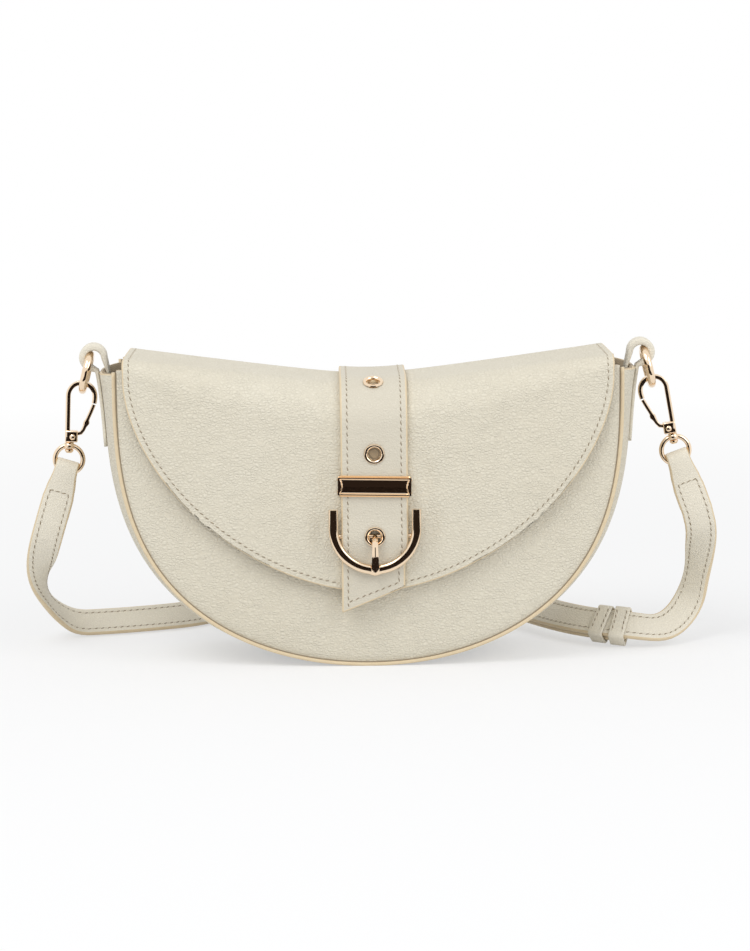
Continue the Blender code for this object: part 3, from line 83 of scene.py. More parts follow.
# %% Sockets with arithmetic
class Flow:
    """A socket of a finish, on which sums can be written."""

    def __init__(self, finish, socket):
        self.finish, self.socket = finish, socket

    def maths(self, operation, *values):
        return self.finish.node("ShaderNodeMath", {"operation": operation}, dict(enumerate(values)))

    def __add__(self, other):
        return self.maths("ADD", self, other)

    __radd__ = __add__

    def __sub__(self, other):
        return self.maths("SUBTRACT", self, other)

    def __rsub__(self, other):
        return self.maths("SUBTRACT", other, self)

    def __mul__(self, other):
        return self.maths("MULTIPLY", self, other)

    __rmul__ = __mul__

    def __pow__(self, other):
        return self.maths("POWER", self, other)

    def clear(self):
        """The value, held between 0 and 1."""
        return self.maths("MINIMUM", self.maths("MAXIMUM", self, 0.0), 1.0)


class Finish:
    """A material under construction. Its shader is a Principled BSDF."""

    def __init__(self, name, **constants):
        self.material = bpy.data.materials.new(name)
        self.material.use_nodes = True
        self.tree = self.material.node_tree
        self.shader = self.tree.nodes["Principled BSDF"]
        for key, value in constants.items():
            self.shader.inputs[key.replace("_", " ")].default_value = value

    def node(self, kind, settings=None, inputs=None, output=0):
        made = self.tree.nodes.new(kind)
        for key, value in (settings or {}).items():
            setattr(made, key, value)
        for key, value in (inputs or {}).items():
            self.feed(made.inputs[key], value)
        return Flow(self, made.outputs[output])

    def feed(self, socket, value):
        if isinstance(value, Flow):
            self.tree.links.new(value.socket, socket)
        else:
            socket.default_value = value

    def place(self):
        """Where a point is on the object."""
        return self.node("ShaderNodeTexCoord", output="Object")

    def shifted(self, place, amount):
        return self.node("ShaderNodeVectorMath", {"operation": "ADD"}, {0: place, 1: amount})

    def stretched(self, place, scale):
        return self.node("ShaderNodeVectorMath", {"operation": "MULTIPLY"}, {0: place, 1: scale})

    def clouds(self, place, scale, detail=2.0, roughness=0.5):
        return self.node("ShaderNodeTexNoise", {}, {"Vector": place, "Scale": scale, "Detail": detail,
                                                    "Roughness": roughness})

    def blend(self, share, first, second):
        """A colour between two, with the sockets that a Mix node has for colours."""
        return self.node("ShaderNodeMix", {"data_type": "RGBA"}, {0: share, 6: first, 7: second}, output=2)

    def relief(self, height, distance, strength=1.0):
        return self.node("ShaderNodeBump", {}, {"Height": height, "Distance": distance, "Strength": strength})

    def use(self, **links):
        for key, value in links.items():
            self.feed(self.shader.inputs[key.replace("_", " ")], value)
        return self.material


print("shader language ready")

# %% [markdown]
# ## Leather
# The panels and the flap are in pebbled leather: round grains of one to two millimetres, with fine creases
# between them that are darkened in the colour, as painted shade. Voronoi cells give the grains, and noise
# bends the cells so that no two are alike. The tab, the strap and the loops are in the same leather pressed
# smoother, and the tab's copy of it is darker. Both have slow, wide changes of tone.


# %% Pebbled and smooth leather
def leather(name, light, dark, grain, depth, flatten, roughness):
    finish = Finish(name, Specular_IOR_Level=0.32)
    place = finish.place()
    wide = finish.clouds(place, 14.0, 3.0)
    drift = {"Vector": place, "Scale": 1 / grain / 2.5, "Detail": 2.0}
    bend = finish.node("ShaderNodeTexNoise", {}, drift, 1)
    bend = finish.node("ShaderNodeVectorMath", {"operation": "SCALE"}, {0: bend, "Scale": grain * 0.9})
    bent = finish.stretched(finish.shifted(place, bend), (1.0, 1.0, flatten))
    edges = {"feature": "DISTANCE_TO_EDGE"}
    cells = finish.node("ShaderNodeTexVoronoi", edges, {"Vector": bent, "Scale": 1 / grain})
    pebble = (cells * 2.6).clear() ** 0.75
    soft = finish.clouds(finish.stretched(place, (0.8, 0.8, 1.7)), 0.8 / grain, 1.5)
    fine = finish.clouds(place, 1 / grain * 2.2, 3.0, 0.6)
    patches = finish.clouds(place, 90.0, 2.0)
    strength = 0.35 + patches * 0.5
    height = pebble * strength + soft * 1.1 + fine * 0.12
    tone = finish.blend((wide * 1.6 - 0.3).clear(), (*dark, 1), (*light, 1))
    # Painted shade: the colour darkens in the creases between the grains.
    crease_shade = (1 - pebble) * 0.20
    tone = finish.blend(crease_shade.clear(), tone, (dark[0] * 0.72, dark[1] * 0.68, dark[2] * 0.60, 1))
    rough = roughness + (fine - 0.5) * 0.18 + (1 - pebble) * 0.1
    return finish.use(Base_Color=tone, Roughness=rough, Normal=finish.relief(height, depth, 0.9))


pebbled = leather("pebbled_leather", (0.755, 0.71, 0.592), (0.71, 0.658, 0.535), 0.0019, 0.00048, 1.45, 0.50)
smooth = leather("smooth_leather", (0.84, 0.79, 0.67), (0.80, 0.745, 0.625), 0.0012, 0.00022, 1.1, 0.46)
tab_leather = leather("tab_leather", (0.70, 0.655, 0.548), (0.67, 0.62, 0.51), 0.0012, 0.00022, 1.1, 0.46)
print("leathers:", pebbled.name, smooth.name, tab_leather.name)

# %% [markdown]
# ## Edge paint, thread and lining
# Cut leather edges are painted in a warmer, darker cream, slightly uneven where the brush went twice. The
# lining is a beige cloth with a fine twill, drawn by two waves across each other. The thread is a shade
# darker than the leather. A dark brown stands for the shade in each needle hole: it is painted shade, and
# the gap of a seam and the inside of the eyelets get it too.


# %% Paint, thread, painted shade of needle holes, and lining
def edge_paint():
    finish = Finish("edge_paint", Specular_IOR_Level=0.4)
    place = finish.place()
    uneven = finish.clouds(place, 260.0, 3.0)
    tone = finish.blend(uneven, (0.68, 0.54, 0.35, 1), (0.76, 0.64, 0.44, 1))
    bump = finish.relief(uneven, 0.00006, 0.6)
    return finish.use(Base_Color=tone, Roughness=0.38 + uneven * 0.14, Normal=bump)


def twill(name, light, dark):
    finish = Finish(name, Specular_IOR_Level=0.2, Sheen_Weight=0.15)
    place = finish.place()
    turned = finish.node("ShaderNodeMapping", {}, {"Vector": place, "Rotation": (0.0, math.radians(45), 0.0)})
    settings = {"wave_type": "BANDS", "bands_direction": "X"}
    rib = finish.node("ShaderNodeTexWave", settings, {"Vector": turned, "Scale": 420.0, "Distortion": 0.6}, 1)
    rows = {"wave_type": "BANDS", "bands_direction": "Z"}
    yarn = finish.node("ShaderNodeTexWave", rows, {"Vector": place, "Scale": 700.0, "Distortion": 0.4}, 1)
    weave = rib * 0.7 + yarn * 0.3
    tone = finish.blend(weave, (*dark, 1), (*light, 1))
    tone = finish.blend(finish.clouds(place, 20.0) * 0.3, tone, (*dark, 1))
    return finish.use(Base_Color=tone, Roughness=0.75 + weave * 0.15, Normal=finish.relief(weave, 0.00012))


def plain(name, colour, roughness, grain):
    finish = Finish(name, Specular_IOR_Level=0.25)
    uneven = finish.clouds(finish.place(), grain, 3.0)
    tone = finish.blend(uneven, (*[c * 0.86 for c in colour], 1), (*colour, 1))
    return finish.use(Base_Color=tone, Roughness=roughness + uneven * 0.1)


paint = edge_paint()
lining_cloth = twill("lining_cloth", (0.52, 0.42, 0.29), (0.36, 0.28, 0.18))
thread = plain("thread", (0.76, 0.70, 0.58), 0.6, 1500.0)
# Painted shade: a dark colour for needle holes, the gap of a seam and the inside of the eyelets.
painted_shade = plain("painted_shade_colour", (0.33, 0.265, 0.185), 0.8, 900.0)
print("finishes so far:", len(bpy.data.materials))

# %% [markdown]
# ## Pale gold
# The fittings are polished, pale gold plating. Polished metal shows mostly what stands round it, so the
# finish itself is quiet: faint handling marks that change the roughness, and a trace of uneven plating.


# %% Pale gold
def gold_plating(name, colour, roughness):
    finish = Finish(name, Metallic=1.0)
    place = finish.place()
    marks = finish.clouds(place, 400.0, 4.0, 0.7)
    slow = finish.clouds(place, 60.0)
    tone = finish.blend(slow, (*colour, 1), (*[c * 0.93 for c in colour], 1))
    bump = finish.relief(slow, 0.00004, 0.3)
    return finish.use(Base_Color=tone, Roughness=roughness + marks * 0.05, Normal=bump)


gold = gold_plating("pale_gold", (0.93, 0.74, 0.54), 0.05)
print("metal:", gold.name)

# %% [markdown]
# ## Floor
# The bag stands on a white floor that runs out of sight, and its shadow is soft. The floor shows its real
# shade to the lamps. Where the camera looks at it, a white glow is mixed in, more of it further out. So the
# shadow close to the bag stays, and the floor passes into the backdrop without a line.


# %% Floor
def stage_piece(name, mesh, material):
    """Makes a bmesh an object of the stage, which isn't part of the bag."""
    data = bpy.data.meshes.new(name)
    mesh.to_mesh(data)
    mesh.free()
    data.materials.append(material)
    made = bpy.data.objects.new(name, data)
    bpy.context.scene.collection.objects.link(made)
    return made


bpy.context.scene.view_settings.view_transform = "Standard"
FLOOR_SIZE, FLOOR_Z = 8.0, -0.0001
white = Finish("floor_white", Roughness=0.9, Specular_IOR_Level=0.0, Base_Color=(0.86, 0.86, 0.86, 1))
rays = white.tree.nodes.new("ShaderNodeLightPath")
seen = Flow(white, rays.outputs["Is Camera Ray"]) + Flow(white, rays.outputs["Is Glossy Ray"])
seen = (seen + Flow(white, rays.outputs["Is Transmission Ray"])).clear()
far = white.node("ShaderNodeVectorMath", {"operation": "LENGTH"}, {0: white.place()}, 1)
glow = white.node("ShaderNodeEmission", {}, {"Color": (1.0, 1.0, 1.0, 1.0), "Strength": 1.0})
share = (0.62 + (far - 0.30) * 0.6).clear() * seen
faded = white.node("ShaderNodeMixShader", {}, {0: share, 2: glow})
white.tree.links.new(white.shader.outputs[0], faded.socket.node.inputs[1])
white.tree.links.new(faded.socket, white.tree.nodes["Material Output"].inputs["Surface"])
mesh = bmesh.new()
level = Matrix.Translation((0, 0, FLOOR_Z))
bmesh.ops.create_grid(mesh, x_segments=1, y_segments=1, size=FLOOR_SIZE, matrix=level)
floor = stage_piece("floor", mesh, white.material)
print("floor at z", FLOOR_Z)

# %% [markdown]
# ## Backdrop and lamps
# The room gives a soft light from all sides. The camera and the polished metal see plain white in its
# place, so the backdrop is clean. Two softboxes stand in front of the bag. The key on the left draws the
# shadow under the flap, and the weaker one on the right fills it.

# %% Backdrop and lamps
world = bpy.data.worlds.new("studio")
world.use_nodes = True
bpy.context.scene.world = world
tree = world.node_tree
soft_light = tree.nodes["Background"]
soft_light.inputs["Color"].default_value = (0.97, 0.98, 1.0, 1)
soft_light.inputs["Strength"].default_value = 0.66
backdrop = tree.nodes.new("ShaderNodeBackground")
backdrop.inputs["Color"].default_value = (1, 1, 1, 1)
rays = tree.nodes.new("ShaderNodeLightPath")
total = None
for name in ("Is Camera Ray", "Is Glossy Ray", "Is Transmission Ray"):
    step = tree.nodes.new("ShaderNodeMath")
    step.operation = "ADD"
    step.use_clamp = True
    tree.links.new(rays.outputs[name], step.inputs[0])
    if total is None:
        step.inputs[1].default_value = 0.0
    else:
        tree.links.new(total, step.inputs[1])
    total = step.outputs[0]
chosen = tree.nodes.new("ShaderNodeMixShader")
tree.links.new(total, chosen.inputs[0])
tree.links.new(soft_light.outputs[0], chosen.inputs[1])
tree.links.new(backdrop.outputs[0], chosen.inputs[2])
tree.links.new(chosen.outputs[0], tree.nodes["World Output"].inputs["Surface"])


def softbox(name, place, target, width, height, power):
    lamp = bpy.data.lights.new(name, "AREA")
    lamp.shape = "RECTANGLE"
    lamp.size, lamp.size_y, lamp.energy = width, height, power
    made = bpy.data.objects.new(name, lamp)
    direction = Vector(place) - Vector(target)
    made.matrix_world = Matrix.Translation(place) @ direction.to_track_quat("Z", "Y").to_matrix().to_4x4()
    bpy.context.scene.collection.objects.link(made)


softbox("key_softbox", (-0.7, -0.9, 1.5), (0, 0, 0.06), 1.0, 1.0, 13.5)
softbox("fill_softbox", (1.1, -0.8, 0.9), (0, 0, 0.06), 0.8, 1.0, 6.0)
print("lamps:", [lamp.name for lamp in bpy.data.lights])

# %% [markdown]
# ## A dark card for the metal
# Polished metal needs something dark to reflect, or it looks like plastic. Photographers use black cards
# for this. Ours lies on the floor in front of the bag, and its far edge stands up. Only reflections see it,
# so it throws no shadow and the floor stays white.

# %% Dark card
CARD_MIDDLE, CARD_HALF, CARD_RISE = (0, -0.42, 0.0004), (0.36, 0.26, 1, 1), (0, -0.05, 0.30)
mesh = bmesh.new()
lying = Matrix.Translation(CARD_MIDDLE) @ Matrix.Diagonal(CARD_HALF)
bmesh.ops.create_grid(mesh, x_segments=1, y_segments=1, size=1.0, matrix=lying)
far_edge = [edge for edge in mesh.edges if all(vert.co.y < CARD_MIDDLE[1] for vert in edge.verts)]
grown = bmesh.ops.extrude_edge_only(mesh, edges=far_edge)["geom"]
raised = [piece for piece in grown if isinstance(piece, bmesh.types.BMVert)]
bmesh.ops.translate(mesh, vec=CARD_RISE, verts=raised)
black = Finish("dark_card", Roughness=1.0, Specular_IOR_Level=0.0, Base_Color=(0.022, 0.015, 0.012, 1))
dark_card = stage_piece("dark_card", mesh, black.material)
for kind in ("camera", "diffuse", "shadow", "transmission"):
    setattr(dark_card, "visible_" + kind, False)
print("card with", len(dark_card.data.polygons), "faces")

# %% [markdown]
# ## Measures of the body
# These are the same curves as in the solids, so that every leather piece lies where its solid is. Seen from
# the front the panel is a half-moon: a straight top, and below it a curve between an ellipse and a rounded
# box. Seen from the side the bag narrows a little towards its mouth.


# %% Measures and curves of the body
def clamp(value, low=0.0, high=1.0):
    return max(low, min(high, value))


def mix(first, second, share):
    return first + (second - first) * share


def ease(value):
    value = clamp(value)
    return value * value * (3 - 2 * value)


PANEL_HALF, PANEL_LINE, PANEL_DROP = 0.1185, 0.1400, 0.1380
SIDE_POWER, LOW_POWER, CROWN = 2.05, 3.0, 0.0030
FLAP_HALF, FLAP_LINE, FLAP_LOW, FLAP_POWER = 0.1155, 0.1375, 0.0368, 1.75
HINGE_Z, CREST_MID, CREST_RISE, BACK_ROLL = 0.1180, 0.1343, 0.0132, 0.0120
FLAP_CLEAR, FLAP_STACK = 0.0022, 0.0027


def half_depth(z):
    return 0.033 - 0.005 * clamp(z / PANEL_LINE) ** 2


HINGE_Y = half_depth(HINGE_Z)


def reach(x, z):
    """0 in the middle of a panel and 1 on its outline."""
    return clamp((abs(x) / PANEL_HALF) ** SIDE_POWER + (max(PANEL_LINE - z, 0) / PANEL_DROP) ** LOW_POWER)


def crown(x, z):
    return CROWN * (1 - reach(x, z))


def crest_z(x):
    rise = math.hypot(x, 0.02) - 0.02
    return CREST_MID + CREST_RISE * clamp(rise / (math.hypot(FLAP_HALF, 0.02) - 0.02))


def front_roll(x):
    return mix(0.020, 0.0065, clamp((x / FLAP_HALF) ** 2))


def rim_z(x):
    return crest_z(x) - front_roll(x) + 0.001


def wave(x, z, size, seed):
    """A slow, smooth unevenness between -1 and 1."""
    return noise.noise(Vector((x / size, seed, z / size)))


print("back of the flap at y", round(HINGE_Y, 4))

# %% [markdown]
# ## Sheets of leather
# Every large piece is a sheet. We start from a flat grid and move each of its points on to the surface that
# the piece follows. A half-moon has only two corners, so four points on its rim act as the corners of the
# grid, and the lines between are blended from the four sides. That keeps the cells even, also at the tips.
# Solidify then gives the leather its thickness, and Bevel rounds its painted edge.


# %% Sheet helpers
class Track:
    """A line of points that can be asked for a place by its share of the length."""

    def __init__(self, points):
        self.points = [Vector(p) for p in points]
        self.marks = [0.0]
        for before, after in zip(self.points, self.points[1:]):
            self.marks.append(self.marks[-1] + (after - before).length)
        self.length = self.marks[-1]

    def at(self, share):
        distance = clamp(share) * self.length
        low, high = 0, len(self.marks) - 2
        while low < high:
            middle = (low + high + 1) // 2
            if self.marks[middle] <= distance:
                low = middle
            else:
                high = middle - 1
        span = self.marks[low + 1] - self.marks[low]
        return self.points[low].lerp(self.points[low + 1], (distance - self.marks[low]) / span if span else 0)


def patch(rim, top, corner, u, v):
    """A place inside a half-moon. rim runs from the left tip round the bottom to the right tip."""
    left, right = rim.at(corner * (1 - v)), rim.at(1 - corner * (1 - v))
    low, high = rim.at(mix(corner, 1 - corner, u)), top(u)
    corners = (rim.at(corner), rim.at(1 - corner), top(0), top(1))
    flat = corners[0].lerp(corners[1], u).lerp(corners[2].lerp(corners[3], u), v)
    return low.lerp(high, v) + left.lerp(right, u) - flat


def stands_for(made, slot, *nodes):
    """Hides the solids that a piece takes the place of."""
    if nodes:
        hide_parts(*nodes)


def show(name, mesh, materials, body=None):
    """Makes a bmesh an object with smooth shading, and says how many faces it has."""
    data = bpy.data.meshes.new(name)
    mesh.to_mesh(data)
    mesh.free()
    data.shade_smooth()
    for material in materials:
        data.materials.append(material)
    made = bpy.data.objects.new(name, data)
    bpy.context.scene.collection.objects.link(made)
    if body:
        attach(made, body)
    print(name, len(data.polygons), "faces")
    return made


def sheet(name, columns, rows, place, thickness, faces, body=None, sink=0.0, edge=0.0005, outward=(0, -1, 0)):
    """A sheet on a surface, with a wall behind it. faces gives its front, its edge and its back."""
    mesh = bmesh.new()
    bmesh.ops.create_grid(mesh, x_segments=columns, y_segments=rows, size=0.5)
    for vert in mesh.verts:
        vert.co = place(vert.co.x + 0.5, vert.co.y + 0.5)
    mesh.normal_update()
    side = sum((face.normal.dot(Vector(outward)) * face.calc_area() for face in mesh.faces), 0.0)
    if side < 0:
        bmesh.ops.reverse_faces(mesh, faces=mesh.faces)
        mesh.normal_update()
    for vert in mesh.verts:
        vert.co -= vert.normal * sink
    made = show(name, mesh, faces, body)
    wall = made.modifiers.new("wall", "SOLIDIFY")
    wall.thickness, wall.offset = thickness, -1.0
    wall.material_offset_rim, wall.material_offset = 1, 2
    if edge:
        rounding = made.modifiers.new("edge", "BEVEL")
        rounding.width, rounding.segments, rounding.profile = edge, 3, 0.5
        rounding.use_clamp_overlap = edge < 0.0006
        rounding.limit_method, rounding.angle_limit, rounding.material = "ANGLE", math.radians(42), 1
    return made


def half_moon(half, line, drop, side_power, low_power, top_z, count=240):
    """The rim of a half-moon from its left tip round to its right tip, as (x, 0, z)."""
    points = [(-half, 0, top_z)] if top_z > line + 1e-5 else []
    for step in range(count + 1):
        angle = math.pi * step / count
        across, down = math.cos(angle), max(math.sin(angle), 0)
        x = -math.copysign(abs(across) ** (2 / side_power), across) * half
        points.append((x, 0, line - drop * down ** (2 / low_power)))
    if top_z > line + 1e-5:
        points.append((half, 0, top_z))
    return Track(points)


print("sheet helpers ready")

# %% [markdown]
# ## Front and back panels
# The front panel swells by three millimetres between its seams, and dips along its edge, where the leather
# is pulled into the seam. Slow waves keep it from looking like a casting. The back panel is flatter, since
# it stays straight where the flap is sewn on, and it has a small ear at each end of that seam.


# %% Panels
WAVES, TUCK, TUCK_REACH = 0.0004, 0.0011, 0.030


def panel_depth(x, z, side, seed):
    swell = crown(x, z) if side < 0 else crown(x, z) * clamp((HINGE_Z - z) / (HINGE_Z / 2))
    tuck = TUCK * math.exp(-(1 - reach(x, z)) / TUCK_REACH)
    calm = clamp((1 - reach(x, z)) * 3)
    return side * (half_depth(z) + swell - tuck + WAVES * calm * wave(x, z, 0.03, seed))


def front_place(inset, drop):
    half = PANEL_HALF - inset
    rim = half_moon(half, PANEL_LINE, PANEL_DROP - inset, SIDE_POWER, LOW_POWER, rim_z(FLAP_HALF) - drop)

    def top(u):
        x = mix(-half, half, u)
        return Vector((x, 0, rim_z(min(abs(x), FLAP_HALF)) - drop))

    def place(u, v):
        flat = patch(rim, top, 0.24, u, v)
        return Vector((flat.x, panel_depth(flat.x, flat.z, -1, 3.1), flat.z))

    return place


def back_place(inset, drop):
    half = PANEL_HALF - inset
    ear = rim_z(FLAP_HALF) - drop
    rim = half_moon(half, PANEL_LINE, PANEL_DROP - inset, SIDE_POWER, LOW_POWER, ear)
    notch = FLAP_HALF * 0.966 + 0.0008

    def top(u):
        side = abs(2 * u - 1)
        x = notch * side / 0.86 if side < 0.86 else mix(notch, half, (side - 0.86) / 0.14)
        rise = ease((x - notch) / 0.0032)
        return Vector((math.copysign(x, 2 * u - 1), 0, mix(HINGE_Z - drop, ear, rise)))

    def place(u, v):
        flat = patch(rim, top, 0.24, u, v)
        return Vector((flat.x, panel_depth(flat.x, flat.z, 1, 8.4), flat.z))

    return place


LEATHER = 0.0026
front_panel = sheet("front_panel_leather", 110, 56, front_place(0, 0), LEATHER, (pebbled, paint, pebbled),
                    "body")
stands_for(front_panel, "cream_leather", "front_panel", "front_stiffener")
back_panel = sheet("back_panel_leather", 110, 56, back_place(0, 0), LEATHER, (pebbled, paint, pebbled),
                   "body", outward=(0, 1, 0))
stands_for(back_panel, "cream_leather", "back_panel", "back_stiffener")

# %% [markdown]
# ## Gusset
# The gusset is one long strip that runs down one side, under the bag and up the other side. It could be
# extruded from a panel's rim, but then it would be straight from seam to seam. So we lay a grid along the
# same half-moon and let it bulge between the two seams, most at the sides. Where the bag stands, its own
# weight presses the leather flat.


# %% Gusset
def gusset_place(share, across):
    top = mix(0.1385, PANEL_LINE, across**2)
    start = math.asin(clamp((PANEL_LINE - top) / PANEL_DROP) ** (LOW_POWER / 2))
    angle = mix(start, math.pi - start, share)
    cosine, sine = math.cos(angle), max(math.sin(angle), 0)
    sign = 1 if cosine >= 0 else -1
    x = PANEL_HALF * sign * abs(cosine) ** (2 / SIDE_POWER)
    z = PANEL_LINE - PANEL_DROP * sine ** (2 / LOW_POWER)
    slope_x = sign * abs(cosine) ** (2 - 2 / SIDE_POWER) * SIDE_POWER / PANEL_HALF
    slope_z = -(sine ** (2 - 2 / LOW_POWER)) * LOW_POWER / PANEL_DROP
    normal = Vector((slope_x, 0, slope_z)).normalized()
    bulge = mix(0.0050, 0.0072, abs(cosine)) + 0.0025 * clamp((z - 0.110) / (PANEL_LINE - 0.110)) ** 2
    depth = half_depth(z) - 0.0019
    return Vector((x, across * depth, z)) + normal * bulge * (1 - abs(across) ** 3)


GUSSET = 0.0016


def gusset_skin(u, v):
    point = gusset_place(u, 2 * v - 1)
    point.z = max(point.z, 0.0)
    return point


def outside(made):
    """Turns a sheet round if its faces look inwards."""
    middle = Vector((0, 0, 0.14))
    total = sum(face.normal.dot(face.center - middle) * face.area for face in made.data.polygons)
    if total < 0:
        made.data.flip_normals()
    return made


gusset = outside(sheet("gusset_leather", 240, 36, gusset_skin, GUSSET, (pebbled, paint, lining_cloth), "body",
                       outward=(0, 0, 0)))
stands_for(gusset, "cream_leather", "gusset")

# %% [markdown]
# ## Flap
# The flap starts behind the bag, rolls over its top and hangs down the front. Its own curve at the front is
# a half-moon again, and its top sinks in the middle, where the leather has no panel edge under it. We
# describe its section by five stretches: straight back, back roll, top, front roll and front.


# %% Flap surface
def front_y(x, z):
    return -(half_depth(z) + crown(x, z) + FLAP_CLEAR + FLAP_STACK)


def flap_at(x, stretch, low_z):
    """A point of the flap's outer face and its direction. stretch runs from 0, back, to 5, front."""
    crest, roll = crest_z(x), front_roll(x)
    part, share = min(int(stretch), 4), stretch - min(int(stretch), 4)
    face_y = front_y(x, crest - roll)
    if part == 0:
        return HINGE_Y, mix(HINGE_Z + 0.0003, crest - BACK_ROLL, share), Vector((0, 1, 0))
    if part == 1:
        normal = Vector((0, math.cos(math.pi / 2 * share), math.sin(math.pi / 2 * share)))
        return HINGE_Y - BACK_ROLL + BACK_ROLL * normal.y, crest - BACK_ROLL + BACK_ROLL * normal.z, normal
    if part == 2:
        return mix(HINGE_Y - BACK_ROLL, face_y + roll, share), crest, Vector((0, 0, 1))
    if part == 3:
        normal = Vector((0, -math.sin(math.pi / 2 * share), math.cos(math.pi / 2 * share)))
        return face_y + roll + roll * normal.y, crest - roll + roll * normal.z, normal
    z = mix(crest - roll, low_z, share)
    return front_y(x, z), z, Vector((0, -1, 0))


PUCKERS = [(-0.0245, 0.066, 0.0035), (0.029, 0.068, 0.0035), (-0.021, 0.090, 0.003), (0.026, 0.091, 0.003)]


def flap_swell(x, z):
    """Slow waves, and the puckers that the sewn-on tab and the buckle press into the leather beside them."""
    swell = 0.0006 * wave(x, z, 0.035, 1.7) + 0.00025 * wave(x, z, 0.009, 5.2)
    for px, pz, size in PUCKERS:
        swell -= 0.0012 * math.exp(-((x - px) / size) ** 2 - ((z - pz) / (size * 3.2)) ** 2)
    return swell


FRONT_SHARE = 0.58
flap_rim = half_moon(FLAP_HALF, FLAP_LINE, FLAP_LINE - FLAP_LOW, FLAP_POWER, FLAP_POWER,
                     crest_z(FLAP_HALF) - front_roll(FLAP_HALF))


def flap_top(u):
    x = mix(-FLAP_HALF, FLAP_HALF, u)
    return Vector((x, 0, crest_z(x) - front_roll(x)))


def flap_place(u, v):
    if v <= FRONT_SHARE:
        flat = patch(flap_rim, flap_top, 0.24, u, v / FRONT_SHARE)
        return Vector((flat.x, front_y(flat.x, flat.z) - flap_swell(flat.x, flat.z), flat.z))
    x = mix(-FLAP_HALF, FLAP_HALF, u)
    stretch = 4 * (1 - (v - FRONT_SHARE) / (1 - FRONT_SHARE))
    y, z, normal = flap_at(x, stretch, 0.1)
    inset = 0.0039 * clamp((4 - stretch) / 3) ** 3
    fade = ease((stretch - 2.2) / 1.8)
    narrowed = x * (1 - inset / FLAP_HALF * (x / FLAP_HALF) ** 4)
    return Vector((narrowed, y, z)) + normal * flap_swell(x, z) * fade


FLAP_THICK, FLAP_CLOTH, FLAP_SINK = 0.0019, 0.0007, 0.0020
flap = sheet("flap_leather", 120, 100, flap_place, FLAP_THICK, (pebbled, paint, pebbled), edge=0.0007)
stands_for(flap, "cream_leather", "flap")
flap_lining = sheet("flap_lining_cloth", 120, 100, flap_place, FLAP_CLOTH,
                    (lining_cloth, paint, lining_cloth), sink=FLAP_SINK, edge=0.0)
stands_for(flap_lining, "lining_cloth", "flap_lining")

# %% [markdown]
# ## Centre tab
# The tab is a separate strip, twice as thick as the flap, sewn on from the back of the top to its slanted
# end. Its places come from the flap's own surface, so it lies close to the flap all the way. It lifts a
# little where it passes over the crossbar of the buckle, and narrows on its right below the buckle.

# %% Tab
TAB_MIDDLE, TAB_WIDTH, TAB_THICK, TAB_CLEAR = 0.0022, 0.0315, 0.0024, 0.0003
TAB_TIP, TAB_CORNER, CROSSBAR_Z = 0.0274, 0.0395, 0.0641
TAB_START = 1 + 50 / 90


def tab_lift(z):
    return 0.0014 * math.exp(-(((z - CROSSBAR_Z) / 0.0070) ** 2))


def tab_point(share, stretch):
    """A point of the tab's outer face and its direction, from its left edge to its right edge."""
    low = mix(TAB_TIP, TAB_CORNER, share)
    x = TAB_MIDDLE + TAB_WIDTH * (share - 0.5)
    y, z, normal = flap_at(x, stretch, low)
    lift = TAB_CLEAR + TAB_THICK + (tab_lift(z) if normal.y < 0 else 0)
    narrow = 0.0016 * ease((0.060 - z) / 0.012) * share if stretch > 4 else 0
    return Vector((x - narrow, y, z)) + normal * lift, normal


def tab_rows(v):
    """More rows go to the long front than to the rolls."""
    return mix(5.0, 4.0, v / 0.7) if v < 0.7 else mix(4.0, TAB_START, (v - 0.7) / 0.3)


tab = sheet("centre_tab_leather", 26, 130, lambda u, v: tab_point(u, tab_rows(v))[0], TAB_THICK,
            (tab_leather, paint, tab_leather), edge=0.0008)
stands_for(tab, "smooth_leather", "centre_tab")

# %% [markdown]
# ## Rods, bands and turned pieces
# The strap, the wires of the hooks and the half-round buckle are all one section carried along a path. We
# start from a circle, bend it to the section, and extrude it from spot to spot: each spot is a matrix with
# the section's two directions in it, so the loop is turned and stretched on its way. Round fittings are a
# profile spun about an axis, as on a lathe.


# %% Sweep and lathe helpers
class Axes:
    """A local set of directions: a across, b through, c up."""

    def __init__(self, origin, across, up):
        self.origin = Vector(origin)
        self.c = Vector(up).normalized()
        self.a = (Vector(across) - Vector(across).dot(self.c) * self.c).normalized()
        self.b = self.c.cross(self.a)

    def at(self, a=0.0, b=0.0, c=0.0):
        return self.origin + self.a * a + self.b * b + self.c * c


def rounded(width, depth, corner, steps=3):
    """The corner points of a rounded oblong section."""
    points = []
    for index in range(4):
        middle_a = (width / 2 - corner) * (1 if index in (0, 3) else -1)
        middle_b = (depth / 2 - corner) * (1 if index < 2 else -1)
        for step in range(steps + 1):
            angle = math.pi / 2 * (index + step / steps)
            points.append((middle_a + corner * math.cos(angle), middle_b + corner * math.sin(angle)))
    return points


def spot(origin, across, through, wide=1.0, deep=1.0):
    """Where a section stands on its path."""
    across, through = Vector(across).normalized(), Vector(through).normalized()
    place = Matrix((across * wide, through * deep, across.cross(through))).transposed().to_4x4()
    place.translation = origin
    return place


def flat_path(points, through, wrap=False, sizes=None):
    """Spots along a path that lies in one plane; through is the direction out of the plane."""
    spots, count = [], len(points)
    for index, point in enumerate(points):
        before = points[index - 1] if wrap or index else point
        after = points[(index + 1) % count] if wrap or index + 1 < count else point
        across = Vector(through).cross(after - before)
        wide, deep = sizes[index] if sizes else (1.0, 1.0)
        spots.append(spot(point, across, through, wide, deep))
    return spots


